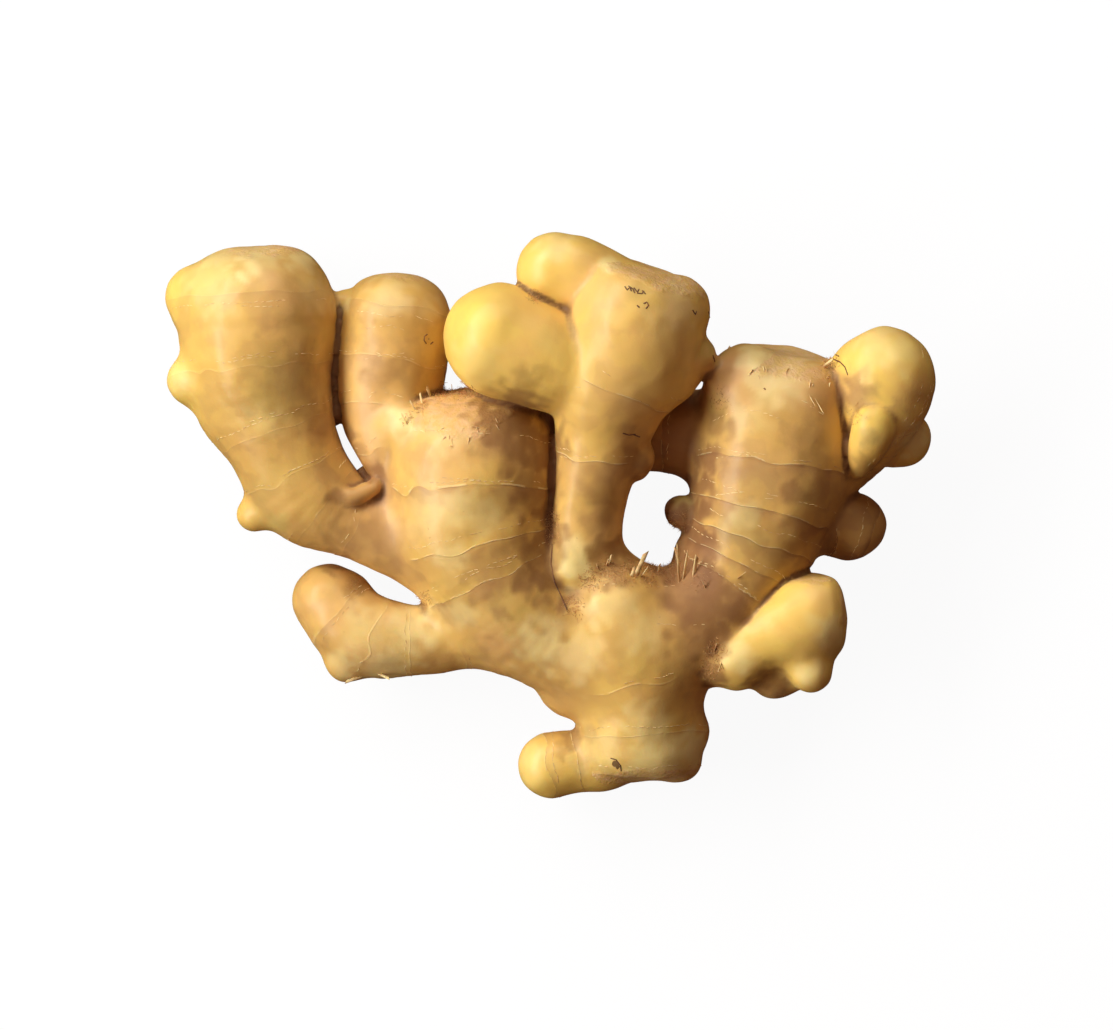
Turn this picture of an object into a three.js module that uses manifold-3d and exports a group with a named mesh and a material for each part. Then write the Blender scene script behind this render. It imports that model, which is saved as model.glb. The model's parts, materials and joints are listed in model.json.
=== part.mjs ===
// A fresh ginger root: one rhizome whose fingers, knobs and buds have all grown from each other,
// so it is one solid. Millimetres, +Z up. It lies on a table at z = 0, and the origin is the middle
// of its footprint there.
//
// Each finger is a thick line with a radius at each station. Together they make one distance field,
// in which a finger's base flows into what it grew from while its tip keeps a sharp crease beside a
// neighbour. Growth rings and slow swellings are relief on that field. The field is skinned with
// marching cubes, the skin's points are spread evenly, it is thinned where it is plain, and the
// underside is cut level where the root rests.

import * as THREE from "three";
import { edgeTable, triTable } from "three/addons/objects/MarchingCubes.js";
import { mergeVertices } from "three/addons/utils/BufferGeometryUtils.js";
import Module from "manifold-3d";

// ---------- Driving dimensions ----------

const chainSteps = 5; // straight pieces between two stations of a finger
const looseFrom = 0.5; // a finger starts to part from its neighbours this many base widths along
const looseBy = 1.4; // and from here on it only touches them
const tipCrease = 0.7; // how far it still blends with a neighbour there
const ringHeight = 0.8; // a growth ring's height above the skin beyond it
const ringLip = 0.6; // the share of that height which the skin rises to before the ring
const ringSkirt = 4; // how far before the ring it starts to rise
const ringFall = 1.5; // how quickly it drops past the ring
const ringWander = 0.9; // how far a ring strays from a true circle
const ringClear = [0.5, 3.5]; // rings fade out over this stretch beside a neighbour
const swellHeight = 0.45; // of the slow lumps all over
const slitRim = 1; // how round the edge of the narrow gap is
const reach = 9; // a finger further away than this has no say in the field

const latticeStep = 1.1; // of the first, fine skin
const cornerGap = 0.02; // of a lattice step, between a corner and a point of the skin
const evenings = 2; // how often the fine skin's points are spread out evenly
const nudge = 0.1; // how far the field's slope is measured over
const longestNudge = 0.6; // how far a point may move at once
const gentlestSlope = 0.3; // the field's slope is never taken as less, squared
const keptTriangles = 10400; // after thinning
const middlePull = 0.003; // keeps a flat patch's point near the middle of the two it replaces
const lengthCost = 2e-4; // puts off collapsing long edges
const sliverLimit = 0.12; // a triangle's least height, as a share of its longest side
const turnLimit = 0.3; // the cosine of the furthest that a triangle may turn

const tableWidth = 300; // of the block that cuts the underside level
const tableDepth = 40;

// ---------- The fingers ----------

// stations: [x, y, z, radius] from the base to the tip.
// rings: how far along the finger each growth ring is.
// web: how far the base blends with what it grew from.
// faces: healed flat ends, each a point on it, the way it faces and how round its rim is.
const fingers = [
  {
    name: "mother",
    stations: [
      [20.4, -62, 13.5, 11.5],
      [20.3, -52, 13.5, 13.2],
      [19.8, -41, 13.8, 14.6],
      [17.5, -30, 16, 15.8],
      [15.5, -24, 17.5, 13.4],
    ],
    rings: [6, 15, 28.8],
    web: 4,
    faces: [
      { at: [20, -59, 13], facing: [0.05, -1, 0.1], rim: 5 },
    ],
  },
  {
    name: "leftPillar",
    stations: [
      [7, -30, 16.5, 12.5],
      [-5.5, -21.5, 17.5, 14.4],
      [-13.5, -11.5, 18, 16.2],
      [-16.8, 0, 18.2, 18.2],
      [-17.4, 11, 18.3, 19.2],
      [-17, 18, 18, 17],
    ],
    rings: [12, 20, 28.3, 36.2, 47.6, 57.5],
    web: 7,
    faces: [
      { at: [-24, 27.3, 15], facing: [-0.08, 0.99, 0.06], rim: 2.5 },
      { at: [-22, 19.4, 35.2], facing: [-0.12, 0.74, 0.66], rim: 1.6 },
    ],
  },
  {
    name: "rightPillar",
    stations: [
      [20, -30, 16, 13],
      [34, -22, 17, 13],
      [42.3, -10.6, 17.5, 12.9],
      [47.1, 1.4, 17.5, 15.7],
      [49.6, 13, 17.1, 18],
      [50.6, 22, 17, 17],
      [50.8, 26, 16.8, 15.5],
    ],
    rings: [26.5, 32.3, 39.4, 46.1, 54.7],
    web: 6,
    faces: [
      { at: [43, 37.2, 19], facing: [0.16, 0.95, 0.3], rim: 3 },
    ],
  },
  {
    name: "farLeft",
    stations: [
      [-30, -6, 17, 8.9],
      [-43, -0.9, 17, 9.1],
      [-54.6, 6.2, 17.4, 11.8],
      [-60, 17.2, 17.8, 12.9],
      [-64.5, 30, 17.6, 16],
      [-65.4, 43.6, 17.4, 18.2],
    ],
    rings: [15, 24, 32.6, 44.5, 58.5, 70.6],
    web: 5,
    faces: [{ at: [-66, 60.6, 17.6], facing: [0.02, 0.97, 0.2], rim: 4 }],
  },
  {
    name: "farLeftLip",
    stations: [
      [-49, 7.4, 24.6, 1.9],
      [-47, 4.9, 25.2, 2.2],
      [-43.6, 4, 25.4, 2.3],
      [-39.8, 6, 23.4, 2],
    ],
    rings: [],
    web: 1.5,
  },
  {
    name: "secondLeft",
    stations: [
      [-27.5, 0, 18, 8],
      [-33.2, 9, 17.5, 7.3],
      [-36.8, 19, 17, 9.2],
      [-36.1, 31, 16, 12.1],
      [-34.7, 42.4, 15.5, 12.9],
    ],
    rings: [19.4, 28.4, 37.4, 46.5],
    web: 2,
    faces: [
      { at: [-34, 54.6, 16], facing: [0.1, 0.98, 0.15], rim: 3 },
    ],
  },
  {
    name: "lowerLeft",
    stations: [
      [-8, -24, 15.5, 9],
      [-18, -25.2, 15, 8.5],
      [-29, -27.8, 14.5, 7.8],
      [-39, -27.2, 14, 9.2],
      [-45.5, -23.5, 13.5, 9],
      [-49.4, -19, 13, 8.3],
    ],
    rings: [12, 24.4, 32.5, 40],
    web: 6,
  },
  {
    name: "centreFinger",
    stations: [
      [14, -17, 18, 7.5],
      [9.4, -8, 22.5, 7],
      [8.7, 1, 24.5, 7.8],
      [9.8, 9, 25.8, 8.8],
      [11, 18, 27, 10],
      [13.5, 28, 28.5, 12.8],
      [18, 38, 29.5, 15.6],
      [19.2, 44, 30, 15.6],
    ],
    rings: [34.2, 52.5],
    web: 3,
    faces: [
      { at: [23, 54.6, 28.5], facing: [0.32, 0.92, 0.2], rim: 2.5 },
    ],
  },
  {
    name: "centreHeel",
    stations: [
      [7, -1, 24.5, 6.2],
      [5.6, -7.5, 26, 5.5],
      [4.9, -11.4, 26, 4.9],
    ],
    rings: [],
    web: 4,
  },
  {
    name: "centreEar",
    stations: [
      [8, 31, 28.5, 10],
      [-3, 35.8, 29.5, 12.2],
      [-11.4, 39.2, 30, 12.5],
    ],
    rings: [],
    web: 1.6,
  },
  {
    name: "centreHorn",
    stations: [
      [15, 48, 28.5, 9],
      [7, 52.6, 28.5, 9.1],
      [1.2, 54.2, 28, 9],
    ],
    rings: [],
    web: 1.2,
  },
  {
    name: "hiddenKnob",
    stations: [
      [42, 12, 14, 9],
      [33, 17.5, 13, 9.6],
      [26.5, 18.8, 12.5, 9.2],
      [20, 17.5, 12.5, 7.6],
    ],
    rings: [8, 17],
    web: 3,
  },
  {
    name: "rightCrown",
    stations: [
      [59, 8, 15, 7],
      [68.6, 16, 17, 8.2],
      [73.4, 25.5, 21.5, 10.6],
      [74.7, 30.3, 22.8, 11.3],
    ],
    rings: [16, 22],
    web: 2,
  },
  {
    name: "rightCrownBack",
    stations: [
      [70, 18, 15, 7],
      [78.8, 17, 12.5, 6.4],
    ],
    rings: [6],
    web: 1.5,
  },
  {
    name: "rightFrontBud",
    stations: [
      [68.4, 11.2, 24, 2.2],
      [69.8, 15, 27.2, 3.8],
      [71.2, 19, 29.4, 4.6],
      [71.6, 20.8, 29.8, 4.5],
    ],
    rings: [],
    web: 1,
  },
  {
    name: "rightLow",
    stations: [
      [54, -1, 14, 7.4],
      [62, -0.8, 13, 7.5],
      [67.5, -2.2, 12.4, 7.6],
    ],
    rings: [10, 15],
    web: 2,
  },
  {
    name: "yellowKnob",
    stations: [
      [30, -33, 17.5, 7],
      [38.5, -31, 20.5, 6],
      [46.5, -27.6, 22.5, 6.8],
      [55.4, -24.4, 22, 10.1],
      [57.8, -21.8, 22, 9.8],
    ],
    rings: [],
    web: 1.2,
    faces: [
      { at: [60, -12.9, 22], facing: [-0.05, 1, 0.15], rim: 2 },
      { at: [66.4, -22, 22], facing: [1, 0.15, 0.1], rim: 3 },
    ],
  },
  {
    name: "lowerBud",
    stations: [
      [18, -50, 12.5, 8],
      [9, -54, 12, 6.9],
      [-0.2, -55.7, 11.5, 7.2],
    ],
    rings: [12.6, 17.6],
    web: 3,
  },
];

// Knobs and buds too short to have a line of their own: [x, y, z, radius], and how far each blends.
const knobs = [
  { name: "motherBottomRight", at: [28.3, -54.3, 12, 4.1], web: 4 },
  { name: "motherBottomLeft", at: [12.4, -56.4, 12.5, 4.6], web: 4 },
  { name: "farLeftShoulder", at: [-79.3, 49, 18, 6.4], web: 4 },
  { name: "farLeftSide", at: [-80, 30.2, 18, 5.8], web: 3 },
  { name: "farLeftHeel", at: [-66.2, 0.3, 17, 4.1], web: 3 },
  { name: "secondLeftNub", at: [-46, 48, 17, 2.6], web: 2 },
  { name: "pillarShoulder", at: [-32.8, 20.3, 25.4, 4.8], web: 4 },
  { name: "centreElbow", at: [17.4, 12.6, 25.4, 5.4], web: 1 },
  { name: "centreHip", at: [26.5, 31.5, 27.5, 6.6], web: 4 },
  { name: "centreSideBud", at: [33, 35.9, 28.5, 3.9], web: 2 },
  { name: "motherShoulder", at: [15, -19, 24, 8], web: 5 },
  { name: "rightPillarBud", at: [29.3, 0.6, 18, 3.4], web: 2 },
  { name: "rightPillarHeel", at: [31.9, -8.3, 16, 4.3], web: 3 },
  { name: "rightPillarShoulder", at: [42.6, 29.2, 22.5, 8.2], web: 4 },
  { name: "rightPillarFarShoulder", at: [57.4, 26.2, 21.5, 7.6], web: 4 },
  { name: "rightCrownShoulder", at: [69, 32, 20, 6.6], web: 4 },
  { name: "pillarFarShoulder", at: [-6, 16.5, 12, 9], web: 4 },
  { name: "motherLeftBump", at: [4.6, -38.4, 14, 6.2], web: 3 },
  { name: "centreCorner", at: [29.4, 46.2, 28.5, 5.1], web: 4 },
  { name: "lowerLeftBump", at: [-44, -16.6, 13, 3.2], web: 3 },
  { name: "yellowElbow", at: [42.4, -31.6, 21.5, 7.3], web: 4 },
  { name: "yellowBud", at: [57.6, -34.6, 23.5, 4.8], web: 3 },
  { name: "yellowBudEnd", at: [57.2, -33.5, 19.5, 4.4], web: 2 },
  { name: "yellowUnder", at: [50, -35, 17, 5.9], web: 3 },
  { name: "lowerLeftCorner", at: [-45.5, -33, 13.5, 4.2], web: 3 },
  { name: "motherRightStub", at: [31.5, -48.5, 14, 4], web: 3 },
];
// A narrow gap that light comes through, between the two left fingers: [x, y, half its width] along it.
const slit = [
  [-47.2, 20, 0.1],
  [-45.5, 15.8, 0.8],
  [-43.6, 12.4, 0.85],
  [-41.7, 9.4, 0.75],
  [-40.2, 7.4, 0.2],
];
const shapes = [
  ...fingers,
  ...knobs.map(({ name, at, web }) => ({ name, stations: [at], rings: [], web })),
];

// ---------- The distance field ----------

const { clamp, lerp, smoothstep } = THREE.MathUtils;

// The smaller of two distances, with the corner between them filled by a web.
function smoothMin(a, b, web) {
  const near = Math.max(web - Math.abs(a - b), 0) / web;
  return Math.min(a, b) - (near * near * web) / 4;
}

// A finger's stations as a chain of points with a radius and a distance along it.
function chainOf({ stations }) {
  if (stations.length === 1) {
    const [x, y, z, radius] = stations[0];
    return [{ centre: new THREE.Vector3(x, y, z), radius, along: 0 }];
  }
  const line = new THREE.CatmullRomCurve3(
    stations.map(([x, y, z]) => new THREE.Vector3(x, y, z)),
    false,
    "catmullrom",
  );
  const widths = new THREE.CatmullRomCurve3(
    stations.map(([, , , radius]) => new THREE.Vector3(radius, 0, 0)),
    false,
    "catmullrom",
  );
  const count = (stations.length - 1) * chainSteps;
  const chain = [];
  let along = 0;
  for (let i = 0; i <= count; i++) {
    const centre = line.getPoint(i / count);
    if (i > 0) along += centre.distanceTo(chain[i - 1].centre);
    chain.push({ centre, radius: widths.getPoint(i / count).x, along });
  }
  return chain;
}

// The nearest skin of a chain: how far off it is, negative inside, and how far along the finger.
// Round a finger's end, along runs on past its last station.
function nearestOnChain(chain, x, y, z) {
  const { centre, radius: firstRadius } = chain[0];
  let distance = Math.hypot(x - centre.x, y - centre.y, z - centre.z) - firstRadius;
  let along = 0;
  for (let i = 1; i < chain.length; i++) {
    const a = chain[i - 1];
    const b = chain[i];
    const dx = b.centre.x - a.centre.x;
    const dy = b.centre.y - a.centre.y;
    const dz = b.centre.z - a.centre.z;
    const px = x - a.centre.x;
    const py = y - a.centre.y;
    const pz = z - a.centre.z;
    const open = (px * dx + py * dy + pz * dz) / (dx * dx + dy * dy + dz * dz);
    const share = clamp(open, 0, 1);
    const radius = a.radius + (b.radius - a.radius) * share;
    const off = Math.hypot(px - dx * share, py - dy * share, pz - dz * share) - radius;
    if (off < distance) {
      distance = off;
      const onward = i === chain.length - 1 ? Math.max(open, share) : share;
      along = a.along + (b.along - a.along) * onward;
    }
  }
  return { distance, along };
}

const solids = shapes.map((shape) => {
  const chain = chainOf(shape);
  const box = new THREE.Box3();
  for (const { centre, radius } of chain) {
    const half = new THREE.Vector3().setScalar(radius + reach);
    box.union(new THREE.Box3(centre.clone().sub(half), centre.clone().add(half)));
  }
  const faces = (shape.faces ?? []).map(({ at, facing, rim }) => {
    const normal = new THREE.Vector3(...facing).normalize();
    return { normal, level: normal.dot(new THREE.Vector3(...at)), rim };
  });
  return { ...shape, chain, box, faces };
});

// A slow wave over the whole root, between -1 and 1.
function swell(x, y, z) {
  const a = Math.sin(x * 0.23 + 1.4 * Math.sin(y * 0.11 + z * 0.07) + 0.6);
  const b = Math.sin(y * 0.21 + 1.2 * Math.sin(z * 0.13 + x * 0.09) + 2.1);
  const c = Math.sin(z * 0.27 + 1.3 * Math.sin(x * 0.12 + y * 0.08) + 4.2);
  return (a * b + b * c + c * a) / 1.8;
}

// The relief of a finger's growth rings at a distance along it.
function ringRelief(rings, along) {
  let height = 0;
  for (const ring of rings) {
    const past = along - ring;
    if (past <= 0) height += ringLip * Math.max(0, 1 + past / ringSkirt) ** 2;
    else height += Math.exp(-past / ringFall) - (1 - ringLip) * Math.exp(-past / ringSkirt);
  }
  return height * ringHeight;
}

// How far a place is outside the narrow gap, seen from above.
function fromSlit(x, y) {
  let nearest = reach;
  for (let i = 1; i < slit.length; i++) {
    const [ax, ay, a] = slit[i - 1];
    const [bx, by, b] = slit[i];
    const run = (x - ax) * (bx - ax) + (y - ay) * (by - ay);
    const share = clamp(run / ((bx - ax) ** 2 + (by - ay) ** 2), 0, 1);
    const off = Math.hypot(x - lerp(ax, bx, share), y - lerp(ay, by, share));
    nearest = Math.min(nearest, off - lerp(a, b, share));
  }
  return nearest;
}

// How far a point is outside the root's skin.
function field(x, y, z) {
  let whole = reach;
  let nearest = reach;
  let second = reach;
  let relief = 0;
  for (const { chain, box, faces, rings, web } of solids) {
    const { min, max } = box;
    if (x < min.x || x > max.x || y < min.y || y > max.y || z < min.z || z > max.z) continue;
    const found = nearestOnChain(chain, x, y, z);
    let { distance } = found;
    for (const { normal, level, rim } of faces) {
      const past = normal.x * x + normal.y * y + normal.z * z - level;
      distance = -smoothMin(-distance, -past, rim);
    }
    // A finger flows into what it grew from at its base, and only touches what it lies against further on.
    const width = chain[0].radius * 2;
    const loose = chain.length > 1 ? smoothstep(found.along / width, looseFrom, looseBy) : 0;
    whole = smoothMin(whole, distance, lerp(web, tipCrease, loose));
    if (distance < nearest) {
      second = nearest;
      nearest = distance;
      relief = ringRelief(rings, found.along + ringWander * swell(z * 2, x * 2, y * 2));
    } else if (distance < second) {
      second = distance;
    }
  }
  const clear = smoothstep(second - nearest, ...ringClear);
  const height = relief * clear + swellHeight * swell(x, y, z);
  return -smoothMin(height - whole, fromSlit(x, y), slitRim);
}

// ---------- From the field to a skin ----------

// A lattice cube's corners run round its floor and then round its roof. Its edges run round the floor,
// round the roof and then up from the floor, each as the two corners that it joins.
const round = [0, 1, 2, 3];
const cubeCorners = [0, 1].flatMap((up) =>
  round.map((n) => [n === 1 || n === 2 ? 1 : 0, n >> 1, up]),
);
const cubeEdges = [
  ...round.map((n) => [n, (n + 1) % 4]),
  ...round.map((n) => [n + 4, ((n + 1) % 4) + 4]),
  ...round.map((n) => [n, n + 4]),
];

// Marching cubes over a box: the closed skin where the field is zero.
function skinOf(box) {
  const size = box.getSize(new THREE.Vector3());
  const [nx, ny, nz] = size.toArray().map((length) => Math.ceil(length / latticeStep) + 1);
  const values = new Float32Array(nx * ny * nz);
  const indexOf = (i, j, k) => (k * ny + j) * nx + i;
  const low = box.min.toArray();
  const place = (...cell) => cell.map((n, axis) => low[axis] + n * latticeStep);
  for (let k = 0; k < nz; k++)
    for (let j = 0; j < ny; j++)
      for (let i = 0; i < nx; i++) values[indexOf(i, j, k)] = field(...place(i, j, k));

  const points = [];
  const triangles = [];
  const crossings = new Map(); // lattice edge to the point on it
  function crossing(cornerA, cornerB) {
    const indexA = indexOf(...cornerA);
    const indexB = indexOf(...cornerB);
    const key = Math.min(indexA, indexB) * values.length + Math.max(indexA, indexB);
    if (!crossings.has(key)) {
      // A crossing keeps a little clear of the lattice's corners, so that no two fall together.
      const share = values[indexA] / (values[indexA] - values[indexB]);
      const kept = clamp(share, cornerGap, 1 - cornerGap);
      const a = place(...cornerA);
      const b = place(...cornerB);
      crossings.set(key, points.length);
      points.push(a.map((value, axis) => lerp(value, b[axis], kept)));
    }
    return crossings.get(key);
  }

  for (let k = 0; k < nz - 1; k++)
    for (let j = 0; j < ny - 1; j++)
      for (let i = 0; i < nx - 1; i++) {
        const corners = cubeCorners.map(([di, dj, dk]) => [i + di, j + dj, k + dk]);
        let code = 0;
        corners.forEach((corner, n) => {
          if (values[indexOf(...corner)] > 0) code |= 1 << n;
        });
        if (edgeTable[code] === 0) continue;
        for (let n = code * 16; triTable[n] !== -1; n += 3) {
          const triangle = [0, 1, 2].map((m) => {
            const [a, b] = cubeEdges[triTable[n + m]];
            return crossing(corners[a], corners[b]);
          });
          triangles.push(triangle);
        }
      }
  return { points, triangles };
}

// ---------- Evening out ----------

// A point moved down the field's slope onto the skin.
function ontoSkin(start) {
  const point = [...start];
  for (let n = 0; n < 2; n++) {
    const here = field(...point);
    const slope = point.map((_, axis) => {
      const beside = [...point];
      beside[axis] += nudge;
      return (field(...beside) - here) / nudge;
    });
    const steepness = slope.reduce((sum, value) => sum + value * value, 0);
    const step = clamp(here / Math.max(steepness, gentlestSlope), -longestNudge, longestNudge);
    slope.forEach((value, axis) => {
      point[axis] -= value * step;
    });
  }
  return point;
}

// Slides every point towards the middle of its neighbours, which leaves no thin triangles.
function evened({ points, triangles }) {
  const sums = points.map(() => [0, 0, 0, 0]);
  for (const triangle of triangles)
    for (const p of triangle)
      for (const other of triangle) {
        if (other === p) continue;
        points[other].forEach((value, axis) => {
          sums[p][axis] += value;
        });
        sums[p][3] += 1;
      }
  const moved = points.map((point, p) =>
    ontoSkin(point.map((value, axis) => (value + sums[p][axis] / sums[p][3]) / 2)),
  );
  return { points: moved, triangles };
}

// ---------- Thinning ----------

// A quadric is the sum of squared distances to a set of planes: a symmetric 4 by 4 matrix, of which
// the upper half is kept, row by row.
const quadricOrder = [0, 1, 2, 3].flatMap((row) =>
  [0, 1, 2, 3].filter((column) => column >= row).map((column) => [row, column]),
);

// Collapses the cheapest edge until only so many triangles are left. The skin stays closed.
function thinned({ points, triangles }, wanted) {
  const fans = points.map(() => new Set()); // the triangles round each point
  triangles.forEach((triangle, t) => triangle.forEach((p) => fans[p].add(t)));
  const quadrics = points.map(() => new Float64Array(10));
  const stamps = new Int32Array(points.length); // how often a point has moved
  const edge1 = new THREE.Vector3();
  const edge2 = new THREE.Vector3();

  const lengthOf = (a, b) => Math.hypot(...a.map((value, axis) => value - b[axis]));
  function crossOf(a, b, c) {
    edge1.set(b[0] - a[0], b[1] - a[1], b[2] - a[2]);
    edge2.set(c[0] - a[0], c[1] - a[1], c[2] - a[2]);
    return edge1.clone().cross(edge2);
  }
  for (const triangle of triangles) {
    const [a, b, c] = triangle.map((p) => points[p]);
    const normal = crossOf(a, b, c);
    const area = normal.length() / 2;
    normal.normalize();
    const plane = [...normal.toArray(), -normal.dot(new THREE.Vector3(...a))];
    for (const p of triangle)
      quadricOrder.forEach(([row, column], n) => {
        quadrics[p][n] += area * plane[row] * plane[column];
      });
  }

  // The best place for the point that two become, and what the move costs.
  function merged(a, b) {
    const q = quadrics[a].map((value, n) => value + quadrics[b][n]);
    const middle = points[a].map((value, axis) => (value + points[b][axis]) / 2);
    const [xx, xy, xz, xw, yy, yz, yw, zz, zw] = q;
    const hold = middlePull * (xx + yy + zz) + 1e-9;
    const matrix = new THREE.Matrix3();
    matrix.set(xx + hold, xy, xz, xy, yy + hold, yz, xz, yz, zz + hold);
    const pull = new THREE.Vector3(...middle).multiplyScalar(hold);
    const target = pull.sub(new THREE.Vector3(xw, yw, zw)).applyMatrix3(matrix.invert());
    const place = target.toArray();
    const p = [...place, 1];
    let strain = 0;
    quadricOrder.forEach(([row, column], n) => {
      strain += (row === column ? 1 : 2) * q[n] * p[row] * p[column];
    });
    const length = lengthOf(points[a], points[b]);
    const cost = Math.max(strain, 0) + lengthCost * length * length;
    return { a, b, place, q, cost, stampA: stamps[a], stampB: stamps[b] };
  }

  const heap = [];
  const swap = (i, j) => ([heap[i], heap[j]] = [heap[j], heap[i]]);
  function push(item) {
    let i = heap.push(item) - 1;
    while (i > 0 && heap[i].cost < heap[(i - 1) >> 1].cost) {
      swap(i, (i - 1) >> 1);
      i = (i - 1) >> 1;
    }
  }
  function pop() {
    const top = heap[0];
    const last = heap.pop();
    if (heap.length) {
      heap[0] = last;
      let i = 0;
      for (;;) {
        let least = i;
        for (const child of [2 * i + 1, 2 * i + 2])
          if (child < heap.length && heap[child].cost < heap[least].cost) least = child;
        if (least === i) break;
        swap(i, least);
        i = least;
      }
    }
    return top;
  }

  const neighboursOf = (p) => {
    const found = new Set();
    for (const t of fans[p]) for (const other of triangles[t]) if (other !== p) found.add(other);
    return found;
  };
  // A triangle round a, apart from those that vanish with b, may not turn over or become a sliver.
  function keepsItsFaces(a, b, place) {
    for (const t of fans[a]) {
      if (triangles[t].includes(b)) continue;
      const before = triangles[t].map((p) => points[p]);
      const after = triangles[t].map((p) => (p === a ? place : points[p]));
      const normalBefore = crossOf(...before);
      const normalAfter = crossOf(...after);
      const longest = Math.max(...after.map((p, n) => lengthOf(p, after[(n + 1) % 3])));
      if (normalAfter.length() < sliverLimit * longest * longest) return false;
      const straight = normalBefore.length() * normalAfter.length();
      if (normalBefore.dot(normalAfter) < turnLimit * straight) return false;
    }
    return true;
  }

  for (let a = 0; a < points.length; a++)
    for (const b of neighboursOf(a)) if (a < b) push(merged(a, b));
  let left = triangles.length;
  while (left > wanted && heap.length) {
    const { a, b, place, q, stampA, stampB } = pop();
    if (stamps[a] !== stampA || stamps[b] !== stampB || !fans[a].size || !fans[b].size) continue;
    const aroundB = neighboursOf(b);
    const shared = [...neighboursOf(a)].filter((p) => aroundB.has(p));
    if (shared.length !== 2 || !keepsItsFaces(a, b, place) || !keepsItsFaces(b, a, place)) continue;
    for (const t of [...fans[b]]) {
      if (triangles[t].includes(a)) {
        for (const p of triangles[t]) fans[p].delete(t);
        triangles[t] = null;
        left -= 1;
      } else {
        triangles[t] = triangles[t].map((p) => (p === b ? a : p));
        fans[a].add(t);
      }
    }
    fans[b].clear();
    points[a] = place;
    quadrics[a] = q;
    stamps[a] += 1;
    stamps[b] += 1;
    for (const p of neighboursOf(a)) push(merged(a, p));
  }
  return { points, triangles: triangles.filter(Boolean) };
}

// ---------- The solid ----------

const wasm = await Module();
wasm.setup();

// A closed surface's points and triangles, as flat lists, made a solid.
function manifoldOf(coordinates, corners) {
  const vertProperties = new Float32Array(coordinates);
  const triVerts = new Uint32Array(corners);
  return new wasm.Manifold(new wasm.Mesh({ numProp: 3, vertProperties, triVerts }));
}

const whole = new THREE.Box3();
for (const { box } of solids) whole.union(box);
whole.expandByScalar(2 * latticeStep - reach);
let skin = skinOf(whole);
for (let n = 0; n < evenings; n++) skin = evened(skin);
skin = thinned(skin, keptTriangles);
const grown = manifoldOf(skin.points.flat(), skin.triangles.flat());

const block = new THREE.BoxGeometry(tableWidth, tableWidth, tableDepth);
block.translate(0, 0, -tableDepth / 2);
block.deleteAttribute("normal");
block.deleteAttribute("uv");
const shared = mergeVertices(block);
const table = manifoldOf(shared.getAttribute("position").array, shared.index.array);
const resting = grown.subtract(table);

const { vertProperties, triVerts } = resting.getMesh();
const geometry = new THREE.BufferGeometry();
geometry.setAttribute("position", new THREE.BufferAttribute(vertProperties, 3));
geometry.setIndex(new THREE.BufferAttribute(triVerts, 1));
geometry.computeVertexNormals();

const rhizome = new THREE.Mesh(
  geometry,
  new THREE.MeshStandardMaterial({ name: "ginger skin", color: 0xd9a55f, roughness: 0.5, metalness: 0 }),
);
rhizome.name = "rhizome";

const gingerRoot = new THREE.Group();
gingerRoot.name = "ginger root";
gingerRoot.add(rhizome);

export default gingerRoot;
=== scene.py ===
import json
import math

import bmesh
import bpy
import numpy as np
from mathutils import Matrix, Vector
from mathutils.bvhtree import BVHTree

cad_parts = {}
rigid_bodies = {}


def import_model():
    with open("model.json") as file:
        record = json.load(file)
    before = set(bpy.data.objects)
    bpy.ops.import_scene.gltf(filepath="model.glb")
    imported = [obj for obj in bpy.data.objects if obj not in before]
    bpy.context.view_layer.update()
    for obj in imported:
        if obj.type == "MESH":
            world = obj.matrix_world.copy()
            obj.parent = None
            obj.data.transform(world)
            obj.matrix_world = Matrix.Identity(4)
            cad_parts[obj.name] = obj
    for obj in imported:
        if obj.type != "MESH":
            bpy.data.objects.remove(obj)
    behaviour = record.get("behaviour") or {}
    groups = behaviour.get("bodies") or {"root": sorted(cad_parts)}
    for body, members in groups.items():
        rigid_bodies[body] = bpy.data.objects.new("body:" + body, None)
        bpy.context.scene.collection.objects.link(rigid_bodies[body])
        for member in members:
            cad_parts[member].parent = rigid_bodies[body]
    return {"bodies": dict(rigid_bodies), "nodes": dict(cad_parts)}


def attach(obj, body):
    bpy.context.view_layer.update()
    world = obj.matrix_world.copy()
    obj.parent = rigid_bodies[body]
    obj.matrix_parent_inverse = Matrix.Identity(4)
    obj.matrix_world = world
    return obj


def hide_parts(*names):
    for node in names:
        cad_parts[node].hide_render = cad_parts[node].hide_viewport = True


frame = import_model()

# A fresh ginger root in metres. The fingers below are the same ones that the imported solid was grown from.
mm = 0.001
scene = bpy.context.scene
kept = {*frame["nodes"].values(), *frame["bodies"].values()}
for leftover in [each for each in scene.objects if each not in kept]:
    bpy.data.objects.remove(leftover)
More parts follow.
